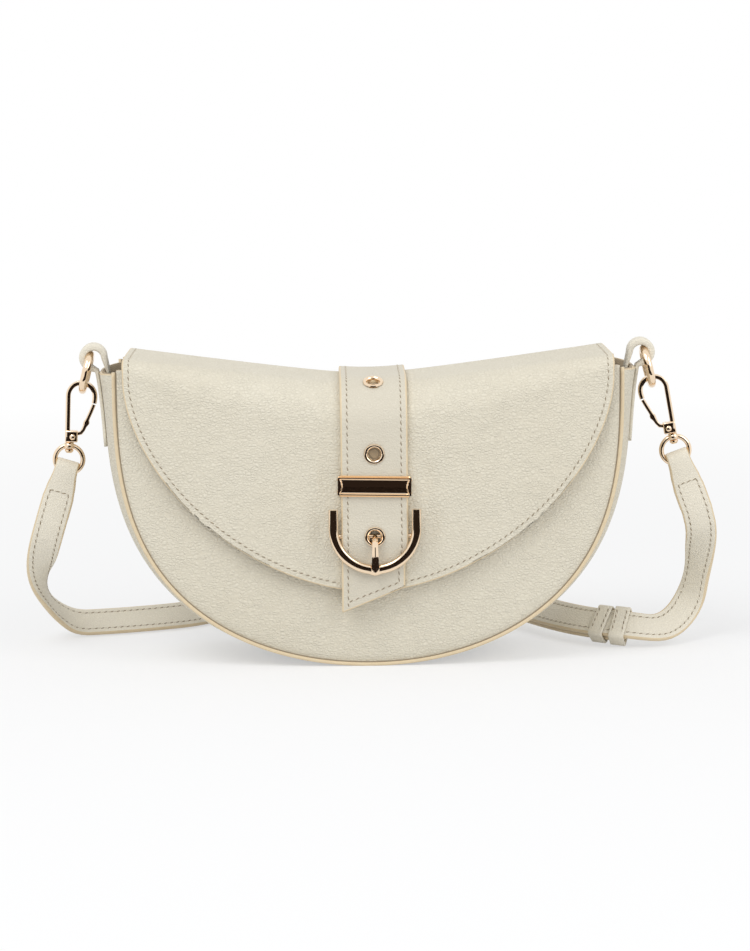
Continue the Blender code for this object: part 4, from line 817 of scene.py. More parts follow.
def sweep(name, spots, section, materials, body=None, wrap=False, painted=None, sharp=None):
    """A section carried from spot to spot. Faces further out than painted get the second material."""
    mesh = bmesh.new()
    across = mesh.verts.layers.float.new("across")
    loop = bmesh.ops.create_circle(mesh, segments=len(section), radius=1.0)["verts"]
    for vert, (a, b) in zip(loop, section):
        vert.co = spots[0] @ Vector((a, b, 0))
        vert[across] = abs(a)
    start = edges = mesh.edges[:]
    for before, after in zip(spots, spots[1:] + (spots[:1] if wrap else [])):
        grown = bmesh.ops.extrude_edge_only(mesh, edges=edges)["geom"]
        verts = [e for e in grown if isinstance(e, bmesh.types.BMVert)]
        edges = [e for e in grown if isinstance(e, bmesh.types.BMEdge) and e.is_boundary]
        bmesh.ops.transform(mesh, matrix=after @ before.inverted(), verts=verts)
    if wrap:
        bmesh.ops.remove_doubles(mesh, verts=mesh.verts, dist=4e-6)
    else:
        for rim in (start, edges):
            bmesh.ops.contextual_create(mesh, geom=rim)
    bmesh.ops.recalc_face_normals(mesh, faces=mesh.faces)
    if painted:
        for face in mesh.faces:
            if min(vert[across] for vert in face.verts) > painted:
                face.material_index = 1
    made = show(name, mesh, materials, body)
    if sharp:
        made.data.set_sharp_from_angle(angle=math.radians(sharp))
    return made


SHARP = math.radians(40)


def lathe(name, axes, profile, material, body=None, steps=48, closed=False):
    """A profile of (radius, height) pairs, spun about the c direction."""
    mesh = bmesh.new()
    verts = [mesh.verts.new(axes.at(radius, 0, height)) for radius, height in profile]
    pairs = list(zip(verts, verts[1:])) + ([(verts[-1], verts[0])] if closed else [])
    edges = [mesh.edges.new(pair) for pair in pairs]
    bmesh.ops.spin(mesh, geom=verts + edges, cent=axes.origin, axis=axes.c, dvec=(0, 0, 0), angle=math.tau,
                   steps=steps, use_merge=True, use_duplicate=False)
    bmesh.ops.remove_doubles(mesh, verts=mesh.verts, dist=1e-6)
    bmesh.ops.recalc_face_normals(mesh, faces=mesh.faces)
    made = show(name, mesh, [material], body)
    made.data.set_sharp_from_angle(angle=SHARP)
    return made


def torus(name, centre, axis, start, radius, wire, material, body):
    """A closed ring of round wire."""
    mesh = bmesh.new()
    direction = Vector(start).normalized()
    stand = spot(Vector(centre) + direction * radius, direction, axis)
    circle = bmesh.ops.create_circle(mesh, segments=20, radius=wire, matrix=stand)["verts"]
    bmesh.ops.spin(mesh, geom=circle + mesh.edges[:], cent=centre, axis=axis, dvec=(0, 0, 0), angle=math.tau,
                   steps=72, use_merge=True, use_duplicate=False)
    bmesh.ops.recalc_face_normals(mesh, faces=mesh.faces)
    return show(name, mesh, [material], body)


print("sweep and lathe ready")

# %% [markdown]
# ## The rim of the gusset's flange
# Along both seams the gusset's edge is turned out and sewn to the panel, and its cut edge is painted. From
# the front it shows as a warm line about two millimetres wide between the panel and the gusset. Modelled as
# part of the gusset's grid it would need very fine cells, so it is a rounded band of its own, carried along
# the half-moon, with a thin dark band behind it as painted shade in the gap of the seam.

# %% Seam bands
def round_the_rim(name, side, gap, back, section, material):
    """A band along the half-moon, gap outside the panel's rim and back behind its face."""
    line = []
    for step in range(181):
        flat = seam_rim.at(step / 180)
        ahead, behind = seam_rim.at(step / 180 + 0.004), seam_rim.at(step / 180 - 0.004)
        outward = Vector((0, 1, 0)).cross(ahead - behind).normalized()
        line.append(flat + outward * gap + Vector((0, side * (half_depth(flat.z) - back), 0)))
    band = sweep(name, flat_path(line, Vector((0, 1, 0))), section, (material,), "body")
    for vert in band.data.vertices:
        vert.co.z = max(vert.co.z, 0.0)
    stands_for(band, "smooth_leather")


SEAM_TOP = 0.1410
seam_rim = half_moon(PANEL_HALF, PANEL_LINE, PANEL_DROP, SIDE_POWER, LOW_POWER, SEAM_TOP, 400)
band_section, gap_shade_section = rounded(0.0017, 0.0022, 0.0006, 3), rounded(0.0010, 0.0018, 0.0002, 1)
for side, label in ((-1, "front"), (1, "back")):
    round_the_rim("seam_band_" + label, side, 0.0013, 0.0014, band_section, paint)
    # The thin dark band is painted shade in the gap of the seam.
    round_the_rim("seam_gap_shade_" + label, side, 0.0003, 0.0018, gap_shade_section, painted_shade)

# %% [markdown]
# ## Lining and pocket
# With the flap open one looks into the bag, so it is lined: a cloth behind each panel, one along the
# gusset, and a flat slip pocket on the back. They are sheets on the same surfaces as the leather, moved in
# by its thickness, so no lining can come through.

# %% Lining
CLOTH, LINING_INSET, LINING_DROP, LINING_SINK, GUSSET_CLOTH_SINK = 0.0010, 0.0037, 0.0012, 0.0030, 0.0018


def lining(node, columns, rows, place, **options):
    faces = (lining_cloth, lining_cloth, lining_cloth)
    made = sheet(node + "_cloth", columns, rows, place, CLOTH, faces, "body", edge=0.0, **options)
    stands_for(made, "lining_cloth", node)
    return made


lining("front_lining", 60, 36, front_place(LINING_INSET, LINING_DROP), sink=LINING_SINK)
lining("back_lining", 60, 36, back_place(LINING_INSET, LINING_DROP), sink=LINING_SINK, outward=(0, 1, 0))
gusset_lining = outside(lining("gusset_lining", 160, 20, gusset_skin, outward=(0, 0, 0)))
for vert in gusset_lining.data.vertices:
    vert.co -= vert.normal * GUSSET_CLOTH_SINK


POCKET_WIDTH, POCKET_LOW, POCKET_HIGH, POCKET_IN = 0.13, 0.042, 0.105, 0.0043
SAG_OUT, SAG_DOWN = 0.0007, 0.0025


def pocket_place(u, v):
    """The pocket's cloth lies on the back lining and gapes a little in the middle of its mouth."""
    x, z = POCKET_WIDTH * (u - 0.5), mix(POCKET_LOW, POCKET_HIGH, v)
    sag = SAG_OUT * math.sin(math.pi * u) * v * v
    y = half_depth(z) + crown(x, z) * clamp((HINGE_Z - z) / (HINGE_Z / 2)) - POCKET_IN
    return Vector((x, y - sag, z - SAG_DOWN * math.sin(math.pi * u) * v))


pocket = sheet("slip_pocket_cloth", 30, 16, pocket_place, CLOTH, (lining_cloth, paint, lining_cloth), "body",
               edge=0.0004, outward=(0, 1, 0))
stands_for(pocket, "lining_cloth", "slip_pocket")

# %% [markdown]
# ## Magnet
# Under the flap a magnet keeps it shut: a stud in the flap's lining and a ring plate on the front panel.
# Both are turned pieces, so a profile is spun for each. They share one axis, which keeps them in line.

# %% Magnet
MAGNET_Z = 0.054
magnet = Axes((0, front_y(0, MAGNET_Z) + FLAP_STACK, MAGNET_Z), (1, 0, 0), (0, 1, 0))
stud_profile = [(0, -0.0003), (0.0085, -0.0003), (0.0085, 0.0001), (0.0081, 0.0002), (0.0036, 0.0002),
                (0.0031, 0.0007), (0.0022, 0.0008), (0, 0.0008)]
stud = lathe("magnet_stud_metal", magnet, stud_profile, gold, "flap")
stands_for(stud, "pale_gold", "magnet_stud")
socket_profile = [(0.0048, 0.0019), (0.0048, 0.0005), (0.0050, 0.0003), (0.0082, 0.0003), (0.0085, 0.0006),
                  (0.0085, 0.0019)]
magnet_socket = lathe("magnet_socket_metal", magnet, socket_profile, gold, "body", closed=True)
stands_for(magnet_socket, "pale_gold", "magnet_socket")

# %% [markdown]
# ## Eyelets
# Three turned eyelets go through the tab. Their flange is a flattened round, and the barrel behind it is a
# short tube. Before they go in, the tab gets its holes: we delete the faces of its sheet that lie close to
# the middle of the eyelet. In the two upper ones a disc in the lining's cloth at the bottom is painted shade
# on the leather behind, with a darker ring of painted shade round it.


# %% Where the eyelets sit
def tab_axes(z):
    """On the tab's front face, with c pointing out of it."""
    y = front_y(0, z) - TAB_CLEAR - TAB_THICK - tab_lift(z)
    return Axes((TAB_MIDDLE, y, z), (1, 0, 0), (0, -1, 0))


def roll_axes(angle):
    """On the tab where it goes over the front roll, at an angle from the back."""
    roll, normal = front_roll(0), Vector((0, math.cos(angle), math.sin(angle)))
    middle = Vector((TAB_MIDDLE, front_y(0, crest_z(0) - roll) + roll, crest_z(0) - roll))
    return Axes(middle + normal * (roll + TAB_CLEAR + TAB_THICK), (1, 0, 0), normal)


eyelets = (("upper", roll_axes(math.radians(114))), ("middle", tab_axes(0.1030)),
           ("lower", tab_axes(CROSSBAR_Z)))
print("eyelets at z", [round(axes.origin.z, 4) for _, axes in eyelets])

# %% Eyelets
EYELET_HOLE, HOLE_ROOM, FLANGE_TOP = 0.0030, 0.0031, 0.0010
# Discs of painted shade at the bottom of the two upper holes: a brown one, and a darker ring.
HOLE_SHADE_DISCS = (("ground", 0.0, 0.0021, lining_cloth), ("shade", 0.0021, 0.0035, painted_shade))
for place_name, axes in eyelets:
    mesh = bmesh.new()
    mesh.from_mesh(tab.data)
    gone = [face for face in mesh.faces if (face.calc_center_median() - axes.origin).length < HOLE_ROOM]
    bmesh.ops.delete(mesh, geom=gone, context="FACES")
    mesh.to_mesh(tab.data)
    mesh.free()
    deep = 0.0010 if place_name == "lower" else 0.0023
    profile = [(EYELET_HOLE, -deep), (0.0036, -deep), (0.0036, 0.0001), (0.0047, 0.0002), (0.0048, 0.0004),
               (0.0046, 0.0008), (0.0041, FLANGE_TOP), (0.0036, 0.0009), (0.0032, 0.0005), (EYELET_HOLE, 0.0)]
    eyelet = lathe("eyelet_" + place_name + "_metal", axes, profile, gold, "flap", closed=True)
    stands_for(eyelet, "pale_gold", "eyelet_" + place_name)
    if place_name != "lower":
        for part, inner, outer, tone in HOLE_SHADE_DISCS:
            disc_profile = [(inner, -0.0019), (outer, -0.0018)]
            disc = lathe("eyelet_" + part + "_" + place_name, axes, disc_profile, tone, "flap", steps=24)
            stands_for(disc, "lining_cloth")
print("holes in the tab:", len(eyelets))

# %% [markdown]
# ## Bar keeper
# The bar over the tab has raised, bright rims and a hollow channel between them that mirrors the dark card.
# Its ends are scooped. A Boolean cut would leave hard corners, so we take a fine grid and lower the inside
# of it with an easy slope, and Solidify gives it its back.


# %% Bar keeper
BAR_Z, BAR_WIDTH, BAR_HEIGHT, BAR_RIM, BAR_SCOOP = 0.0879, 0.0345, 0.0083, 0.0005, 0.0042
BAR_STAND, BAR_TILT = 0.0048, math.radians(-1.3)
SIDES = ((-1, "left"), (1, "right"))


def bar_place(u, v):
    a, b = (u - 0.5) * BAR_WIDTH, (v - 0.5) * BAR_HEIGHT
    rim = BAR_HEIGHT / 2 - abs(b)
    scoop = 1 - (b / BAR_SCOOP) ** 2
    hollow = min(rim - BAR_RIM, BAR_WIDTH / 2 - abs(a) - 0.0004 - 0.0013 * scoop)
    depth = 0.0007 * ease(hollow / BAR_RIM) + 0.0004 * scoop * clamp(hollow / BAR_RIM)
    cosine, sine = math.cos(BAR_TILT), math.sin(BAR_TILT)
    a, b = a * cosine - b * sine, a * sine + b * cosine
    return Vector((TAB_MIDDLE + a, front_y(0, BAR_Z) - BAR_STAND + depth, BAR_Z + b))


bar = sheet("bar_keeper_metal", 120, 44, bar_place, 0.0018, (gold, gold, gold), "flap", edge=0.00035)
stands_for(bar, "pale_gold", "bar_keeper")
for side, label in SIDES:
    x, y = TAB_MIDDLE + side * (TAB_WIDTH / 2 + 0.0009), front_y(0, BAR_Z)
    points = [Vector((x, y - out, BAR_Z)) for out in (0.0003, 0.0020, 0.0036)]
    leg = sweep("bar_leg_" + label, flat_path(points, Vector((0, 0, 1))), rounded(0.0012, 0.0080, 0.0003, 2),
                (gold,), "flap", sharp=40)
    stands_for(leg, "pale_gold")

# %% [markdown]
# ## Half-round buckle
# The buckle is a flat-faced bar bent to a U, with wide bevels that catch the light and a small point at the
# bottom. It stands in front of the tab, and only a thin crossbar passes behind it. A flat section carried
# round the U gives the bevels at once, which a bevelled curve with a round wire wouldn't.

# %% Buckle
buckle = Axes((TAB_MIDDLE, front_y(0, CROSSBAR_Z), CROSSBAR_Z), (1, 0, 0), (0, -1, 0))
LEVEL, HALF, U_HALF_BAR, U_BOTTOM, U_KNEE = 0.0048, 0.0195, 0.0022, 0.0464, 0.0085
U_TOP, U_CENTRE = 0.0772 - CROSSBAR_Z, U_BOTTOM + U_HALF_BAR + HALF - CROSSBAR_Z
path, sizes = [buckle.at(-HALF, U_TOP, LEVEL), buckle.at(-HALF, U_KNEE, LEVEL)], [(1, 1), (1, 1)]
for step in range(73):
    angle = math.pi * step / 72
    point = math.exp(-(((angle - math.pi / 2) / 0.075) ** 2))
    up = U_CENTRE - (HALF + 0.0005 * point) * math.sin(angle)
    path.append(buckle.at(-HALF * math.cos(angle), up, LEVEL))
    sizes.append((1.0 + 0.10 * point, 1.0))
path += [buckle.at(HALF, U_KNEE, LEVEL), buckle.at(HALF, U_TOP, LEVEL)]
sizes += [(1, 1), (1, 1)]
front_half = [(U_HALF_BAR, -0.0004), (U_HALF_BAR, 0.0003), (0.0020, 0.0009), (0.0016, 0.00125),
              (0.0010, 0.00145)]
u_bar = front_half + [(0.0, 0.00152)] + [(-a, b) for a, b in front_half[::-1]]
u_bar += [(-0.0016, -0.0013), (-0.0010, -0.0015), (0.0010, -0.0015), (0.0016, -0.0013)]
u_path = flat_path(path, buckle.c, sizes=sizes)
u_frame = sweep("buckle_frame_metal", u_path, u_bar, (gold,), "flap", sharp=32)
stands_for(u_frame, "pale_gold", "buckle_frame")

# %% Crossbar behind the tab, and the stubs that carry it
ends = [buckle.at(a, 0, 0.0021) for a in (-HALF, -0.0165, 0.0165, HALF)]
rod = rounded(0.0020, 0.0020, 0.00099, 4)
crossbar = sweep("buckle_crossbar_metal", flat_path(ends, buckle.b), rod, (gold,), "flap")
stands_for(crossbar, "pale_gold")
for side, label in SIDES:
    points = [buckle.at(side * 0.0187, 0, c) for c in (0.0014, 0.0030, 0.0046)]
    stub = sweep("buckle_stub_" + label, flat_path(points, buckle.b), rounded(0.0032, 0.0026, 0.0005, 2),
                 (gold,), "flap", sharp=40)
    stands_for(stub, "pale_gold")

# %% [markdown]
# ## Prong
# The prong is hooked on the crossbar, comes up through the lowest eyelet and lies in the notch at the
# buckle's point. On the real one it is cast, with flat facets, so its section has few corners and stays
# sharp between them.

# %% Prong
rest = LEVEL + 0.0015 + 0.0003 + 0.0010
prong_marks = [(-0.0002, 0.0023, 0.9), (0.0004, 0.0040, 0.9), (0.0012, 0.0056, 0.95), (0.0026, 0.0068, 1.0),
               (0.0048, 0.0075, 1.05), (0.0080, rest + 0.0003, 1.15), (0.0112, rest + 0.0002, 1.30),
               (0.0140, rest, 1.45), (0.0160, rest, 1.45), (0.0166, rest - 0.0001, 1.40)]
points = [buckle.at(0, -down, out) for down, out, _ in prong_marks]
sizes = [(1.0, wide) for _, _, wide in prong_marks]
facets = [(0.0010, 0.0008), (0.0003, 0.0013), (-0.0003, 0.0013), (-0.0011, 0.0002), (-0.0011, -0.0002),
          (-0.0003, -0.0013), (0.0003, -0.0013), (0.0010, -0.0008)]
prong_path = flat_path(points, buckle.a, sizes=sizes)
prong = sweep("buckle_prong_metal", prong_path, facets, (gold,), "prong", sharp=30)
stands_for(prong, "pale_gold", "buckle_prong")

# %% [markdown]
# ## Ring loops and rings
# At each side a thick leather band is folded through a ring and sewn to the gusset, with one leg outside
# and one inside. Its path follows the gusset's wall, then goes round the ring's wire. One oblong section is
# carried along that path, thinner on the legs, where the band is pressed flat. The ring is plain round
# wire.


# %% Loops and rings
def wall_line(offset, length, side):
    """Points down the gusset at an offset from its outer face, from the top."""
    walk = Track([gusset_place(share / 300, 0) for share in range(90)])
    points = []
    for step in range(9):
        share = step / 8 * length / walk.length
        along = walk.at(share + 0.01) - walk.at(share - 0.01)
        outward = Vector((-along.z, 0, along.x)).normalized()
        outward = -outward if outward.x < 0 else outward
        moved = walk.at(share) + outward * offset
        points.append(Vector((side * moved.x, 0, moved.z)))
    return points


RING_X, RING_Z, RING_RADIUS, RING_WIRE, RING_TILT = 0.1323, 0.1380, 0.00875, 0.0019, math.radians(13.5)
LOOP_X, LOOP_Z, LOOP_OUTER, LOOP_BAND, LOOP_PLY = 0.1308, 0.1452, 0.0068, 0.0033, 0.5
LEG_OFF, OUTER_LEG, INNER_LEG, CLOTH_GAP = 0.0011, 0.036, 0.025, 0.0003
TURN_START, TURN = -72, 250
for side, label in SIDES:
    centre = Vector((side * LOOP_X, 0, LOOP_Z))
    outer = wall_line(LEG_OFF, OUTER_LEG, side)
    inner = wall_line(-GUSSET - CLOTH_GAP - CLOTH - LEG_OFF, INNER_LEG, side)
    line = outer[:0:-1] + [outer[0] + Vector((side * 0.0002, 0, 0.0004))]
    sizes = [(1.0, LOOP_PLY)] * len(line)
    for step in range(33):
        angle, swell = math.radians(TURN_START + TURN * step / 32), math.sin(math.pi * step / 32)
        around = Vector((side * math.cos(angle), 0, math.sin(angle)))
        line.append(centre + around * (LOOP_OUTER - LOOP_BAND / 2))
        sizes.append((1.0 + 0.05 * swell, mix(0.8, 1.0, swell)))
    line += inner
    sizes += [(1.0, LOOP_PLY)] * len(inner)
    spots = []
    for index, point in enumerate(line):
        ahead = line[min(index + 1, len(line) - 1)] - line[max(index - 1, 0)]
        spots.append(spot(point, (0, 1, 0), ahead.cross(Vector((0, 1, 0))), *sizes[index]))
    band_section = rounded(0.0090, LOOP_BAND, 0.0010, 4)
    loop = sweep("ring_loop_" + label + "_leather", spots, band_section, (smooth,), "body")
    stands_for(loop, "smooth_leather", "ring_loop_" + label)
    middle = Vector((side * (RING_X + RING_RADIUS * math.sin(RING_TILT)), 0, RING_Z))
    up = Vector((-side * math.sin(RING_TILT), 0, math.cos(RING_TILT)))
    axis = up.cross(Vector((0, 1, 0)))
    ring = torus("ring_" + label + "_metal", middle, axis, up, RING_RADIUS, RING_WIRE, gold, "ring_" + label)
    stands_for(ring, "pale_gold", "ring_" + label)

# %% [markdown]
# ## Swivel hooks
# Each hook is a flat bar bent round like a walking stick, on a small block. A gate with a thumb nub turns
# on a rivet in the block and closes on the hook's nose. Below the block a post turns in the boss of a round
# swivel ring, in which the strap is folded. Everything is placed in the hook's own directions, so the two
# sides share one description and differ only in how far they lean.

# %% Where a hook hangs
HOOK_LEANS = {-1: math.radians(2.5), 1: math.radians(10)}
BEND, HOOK_BAR, SHANK, SHOULDER, HANG, PLAY = 0.00635, 0.0023, 0.0019, 0.0224, 0.0004, 0.0004


def hook_axes(side):
    """The directions of a hook that hangs on the lowest place of its ring: a inwards, c up its shank."""
    lean = HOOK_LEANS[side]
    up = Vector((-side * math.sin(lean), 0, math.cos(lean)))
    hook = Axes((0, 0, 0), Vector((-side * math.cos(lean), 0, -math.sin(lean))), up)
    room = BEND - HOOK_BAR / 2 - RING_WIRE - PLAY
    ring_x = RING_X + 2 * RING_RADIUS * math.sin(RING_TILT)
    ring_low = Vector((side * ring_x, 0, RING_Z - RING_RADIUS * math.cos(RING_TILT)))
    drop = SHOULDER + math.sqrt(room**2 - HANG**2)
    hook.origin = ring_low - hook.a * (BEND - SHANK + HANG) - hook.c * drop
    return hook


print("hooks lean", [round(math.degrees(lean), 1) for lean in HOOK_LEANS.values()], "degrees")


# %% Hook and block
BLOCK = (0.0060, 0.0044, 0.0056)


def make_hook(hook, label):
    line = [hook.at(-SHANK, 0, c) for c in (0.0030, 0.0080, 0.0140, 0.0200)]
    for step in range(29):
        angle = math.pi * (1 - step / 28)
        line.append(hook.at(BEND - SHANK + BEND * math.cos(angle), 0, SHOULDER + BEND * math.sin(angle)))
    line.append(hook.at(BEND - SHANK + BEND, 0, 0.0212))
    line.append(hook.at(BEND - SHANK + BEND - 0.0003, 0, 0.0191))
    bar_section = rounded(HOOK_BAR, 0.0032, 0.0005, 2)
    bent_bar = sweep("hook_" + label + "_metal", flat_path(line, hook.b), bar_section, (gold,),
                     "hook_" + label, sharp=38)
    stands_for(bent_bar, "pale_gold", "hook_" + label)
    mesh = bmesh.new()
    stand = spot(hook.at(0, 0, 0.0028), hook.a, hook.b) @ Matrix.Diagonal((*BLOCK, 1))
    bmesh.ops.create_cube(mesh, size=1.0, matrix=stand)
    bmesh.ops.bevel(mesh, geom=mesh.edges[:], offset=0.0006, segments=3, profile=0.5, affect="EDGES",
                    material=-1)
    block = show("hook_block_" + label, mesh, [gold], "hook_" + label)
    block.data.set_sharp_from_angle(angle=SHARP)
    stands_for(block, "pale_gold")


print("a hook hangs", HANG, "m beside the middle of its ring")


# %% Gate and its rivet
PIN_A, PIN_C = 0.0006, 0.0026
GATE_SHARES = [(0.10, 0.06, 0.9), (0.40, 0.12, 1.0), (0.50, 0.22, 1.0), (0.56, 0.31, 1.05),
               (0.60, 0.37, 1.30), (0.64, 0.42, 1.55), (0.66, 0.46, 1.45), (0.68, 0.51, 1.05),
               (0.72, 0.57, 1.0), (0.85, 0.76, 1.0), (0.985, 0.975, 1.0)]


def make_gate(hook, label):
    pin = Axes(hook.at(PIN_A, 0, PIN_C), hook.a, hook.b)
    head = BLOCK[1] / 2 + 0.0002
    pin_profile = [(0, -head - 0.0006), (0.0008, -head - 0.0005), (0.0013, -head - 0.0002), (0.0014, -head),
                   (0.0006, -head), (0.0006, head), (0.0014, head), (0.0013, head + 0.0002),
                   (0.0008, head + 0.0005), (0, head + 0.0006)]
    rivet = lathe("gate_pin_" + label + "_metal", pin, pin_profile, gold, "hook_" + label, steps=28)
    stands_for(rivet, "pale_gold", "gate_pin_" + label)
    nose, top = 2 * BEND - SHANK - 0.0003, SHOULDER - 0.0033 - 0.0003
    points = [hook.at(mix(PIN_A, nose, a), 0, mix(PIN_C, top, c)) for a, c, _ in GATE_SHARES]
    gate_path = flat_path(points, hook.b, sizes=[(wide, 1.0) for _, _, wide in GATE_SHARES])
    gate = sweep("gate_" + label + "_metal", gate_path, rounded(0.0019, 0.0016, 0.0004, 2), (gold,),
                 "gate_" + label, sharp=38)
    stands_for(gate, "pale_gold", "gate_" + label)


print("a gate is drawn with", len(GATE_SHARES), "marks")


# %% Post, swivel ring and its boss
POST_A, SWIVEL_DROP, SWIVEL_RADIUS, SWIVEL_WIRE = -0.0010, 0.0085, 0.0067, 0.0012


def make_swivel(hook, label):
    post = Axes(hook.at(POST_A, 0, 0), hook.a, hook.c)
    stem_profile = [(0, -0.0053), (0.0015, -0.0052), (0.0021, -0.0044), (0.0020, -0.0036), (0.0013, -0.0032),
                    (0.0012, -0.0010), (0.0022, -0.0007), (0.0022, -0.0002), (0.0012, 0.0002), (0, 0.0002)]
    stem = lathe("hook_stem_" + label + "_metal", post, stem_profile, gold, "hook_" + label, steps=32)
    stands_for(stem, "pale_gold", "hook_stem_" + label)
    swivel = Axes(hook.at(POST_A, 0, -SWIVEL_DROP), hook.a, hook.c)
    swivel_ring = torus("swivel_ring_" + label + "_metal", swivel.origin, swivel.b, swivel.c, SWIVEL_RADIUS,
                        SWIVEL_WIRE, gold, "strap")
    stands_for(swivel_ring, "pale_gold", "swivel_ring_" + label)
    boss_profile = [(0.0015, 0.0056), (0.0024, 0.0056), (0.0026, 0.0060), (0.0026, 0.0072), (0.0023, 0.0077),
                    (0.0015, 0.0077)]
    boss = lathe("swivel_boss_" + label, swivel, boss_profile, gold, "strap", steps=32, closed=True)
    stands_for(boss, "pale_gold")
    return swivel


swivels = {}
for side, label in SIDES:
    hook = hook_axes(side)
    make_hook(hook, label)
    make_gate(hook, label)
    swivels[side] = make_swivel(hook, label)

# %% [markdown]
# ## The strap's way
# The strap leaves each hook downwards, turns on its edge, and runs along the floor round the back of the
# bag. It is a flat leather strap with its own stiffness, so we lay it out from given marks along its way, a
# smooth curve through them, and at each mark how far its width has turned from across to upright.


# %% Strap route
SPAN, WIDE, THICK, FLOOR_LEAN = 0.316, 0.0150, 0.0026, math.radians(46)
STRAP_LEANS = {-1: math.radians(17), 1: math.radians(20)}
NECK, FOLD_RISE, PLY_GAP, LAYER_GAP, FOLD_END = 0.0110, 0.0023, 0.0003, 0.0006, 0.00275
LEFT_FALL = ((-0.496, 0.005, 0.169, 0.12), (-0.504, 0.028, 0.139, 0.3), (-0.508, 0.059, 0.109, 0.5),
             (-0.506, 0.089, 0.079, 0.7), (-0.497, 0.116, 0.053, 0.87), (-0.482, 0.134, 0.036, 0.97))
ON_FLOOR = ((-0.459, 0.146, 0), (-0.415, 0.155, 0), (-0.364, 0.171, 0), (-0.316, 0.190, 0),
            (-0.285, 0.206, 0), (-0.253, 0.237, 0), (-0.225, 0.294, 0), (-0.206, 0.380, 0),
            (-0.193, 0.491, 0), (-0.180, 0.601, 0), (-0.152, 0.699, 0), (-0.108, 0.775, 0),
            (-0.051, 0.820, 0), (0.019, 0.829, 0), (0.079, 0.807, 0), (0.123, 0.753, 0),
            (0.152, 0.674, 0), (0.168, 0.585, 0.3), (0.177, 0.491, 0.9), (0.187, 0.402, 1),
            (0.199, 0.320, 1), (0.218, 0.247, 1), (0.244, 0.187, 1), (0.275, 0.130, 1),
            (0.307, 0.082, 1), (0.342, 0.044, 1), (0.380, 0.019, 1), (0.418, 0.009, 0.8),
            (0.454, 0.022, 0.4))
RIGHT_FALL = ((0.483, 0.046, 0.042, 0.8), (0.501, 0.059, 0.068, 0.68), (0.509, 0.057, 0.100, 0.54),
              (0.511, 0.044, 0.130, 0.38), (0.511, 0.024, 0.157, 0.22), (0.510, 0.004, 0.181, 0.06))
KEEPER_THICK, SLIDING_GAP = 0.0012, 0.0005
KEEPER_WALL = SLIDING_GAP + KEEPER_THICK
LIFT = KEEPER_WALL * math.cos(FLOOR_LEAN) + (THICK + LAYER_GAP + KEEPER_WALL) * math.sin(FLOOR_LEAN)


def strap_axes(side):
    lean = STRAP_LEANS[side]
    return Axes(swivels[side].origin, (1, 0, 0), (-side * math.sin(lean), 0, math.cos(lean)))


def fold_spots(side):
    """The folded end, from the end of its hidden layer over the ring to the start of the outer run."""
    axes = strap_axes(side)
    wide, near = SWIVEL_WIRE + PLY_GAP + THICK / 2, (THICK + PLY_GAP) / 2
    top = -SWIVEL_RADIUS + FOLD_RISE
    places = [(near, top - 0.0243, 1.0), (near, top - 0.0200, 1.0), (near, top - 0.0150, 0.97)]
    for step in range(6):
        share, eased = step / 5, ease(step / 5)
        places.append((mix(near, wide, eased), top - mix(0.0118, 0.0012, share), mix(0.75, 0.04, eased)))
    half = len(places)
    for step in range(1, 12):
        angle = math.pi * step / 12
        places.append((wide * math.cos(angle), top + wide * math.sin(angle), 0.0))
    places += [(-b, c, w) for b, c, w in reversed(places[:half])]
    places[-1] = (-near, top - 0.0265, 1.0)
    points = [axes.at(0, b, c) for b, c, _ in places]
    spots = []
    for index, (_, _, widen) in enumerate(places):
        before, after = points[max(index - 1, 0)], points[min(index + 1, len(points) - 1)]
        tangent = (after - before).normalized()
        spots.append((points[index], tangent, axes.a, mix(NECK, WIDE, widen)))
    return spots


def curve(first, second, third, fourth, share):
    """A point of a smooth curve between the second and third of four points."""
    straight = (third - first) * share
    square = (2 * first - 5 * second + 4 * third - fourth) * share**2
    cube = (3 * second - first - 3 * third + fourth) * share**3
    return 0.5 * (2 * second + straight + square + cube)


def smoothed(values):
    inner = [(before + 2 * value + after) / 4 for before, value, after in zip(values, values[1:], values[2:])]
    return [values[0], *inner, values[-1]]


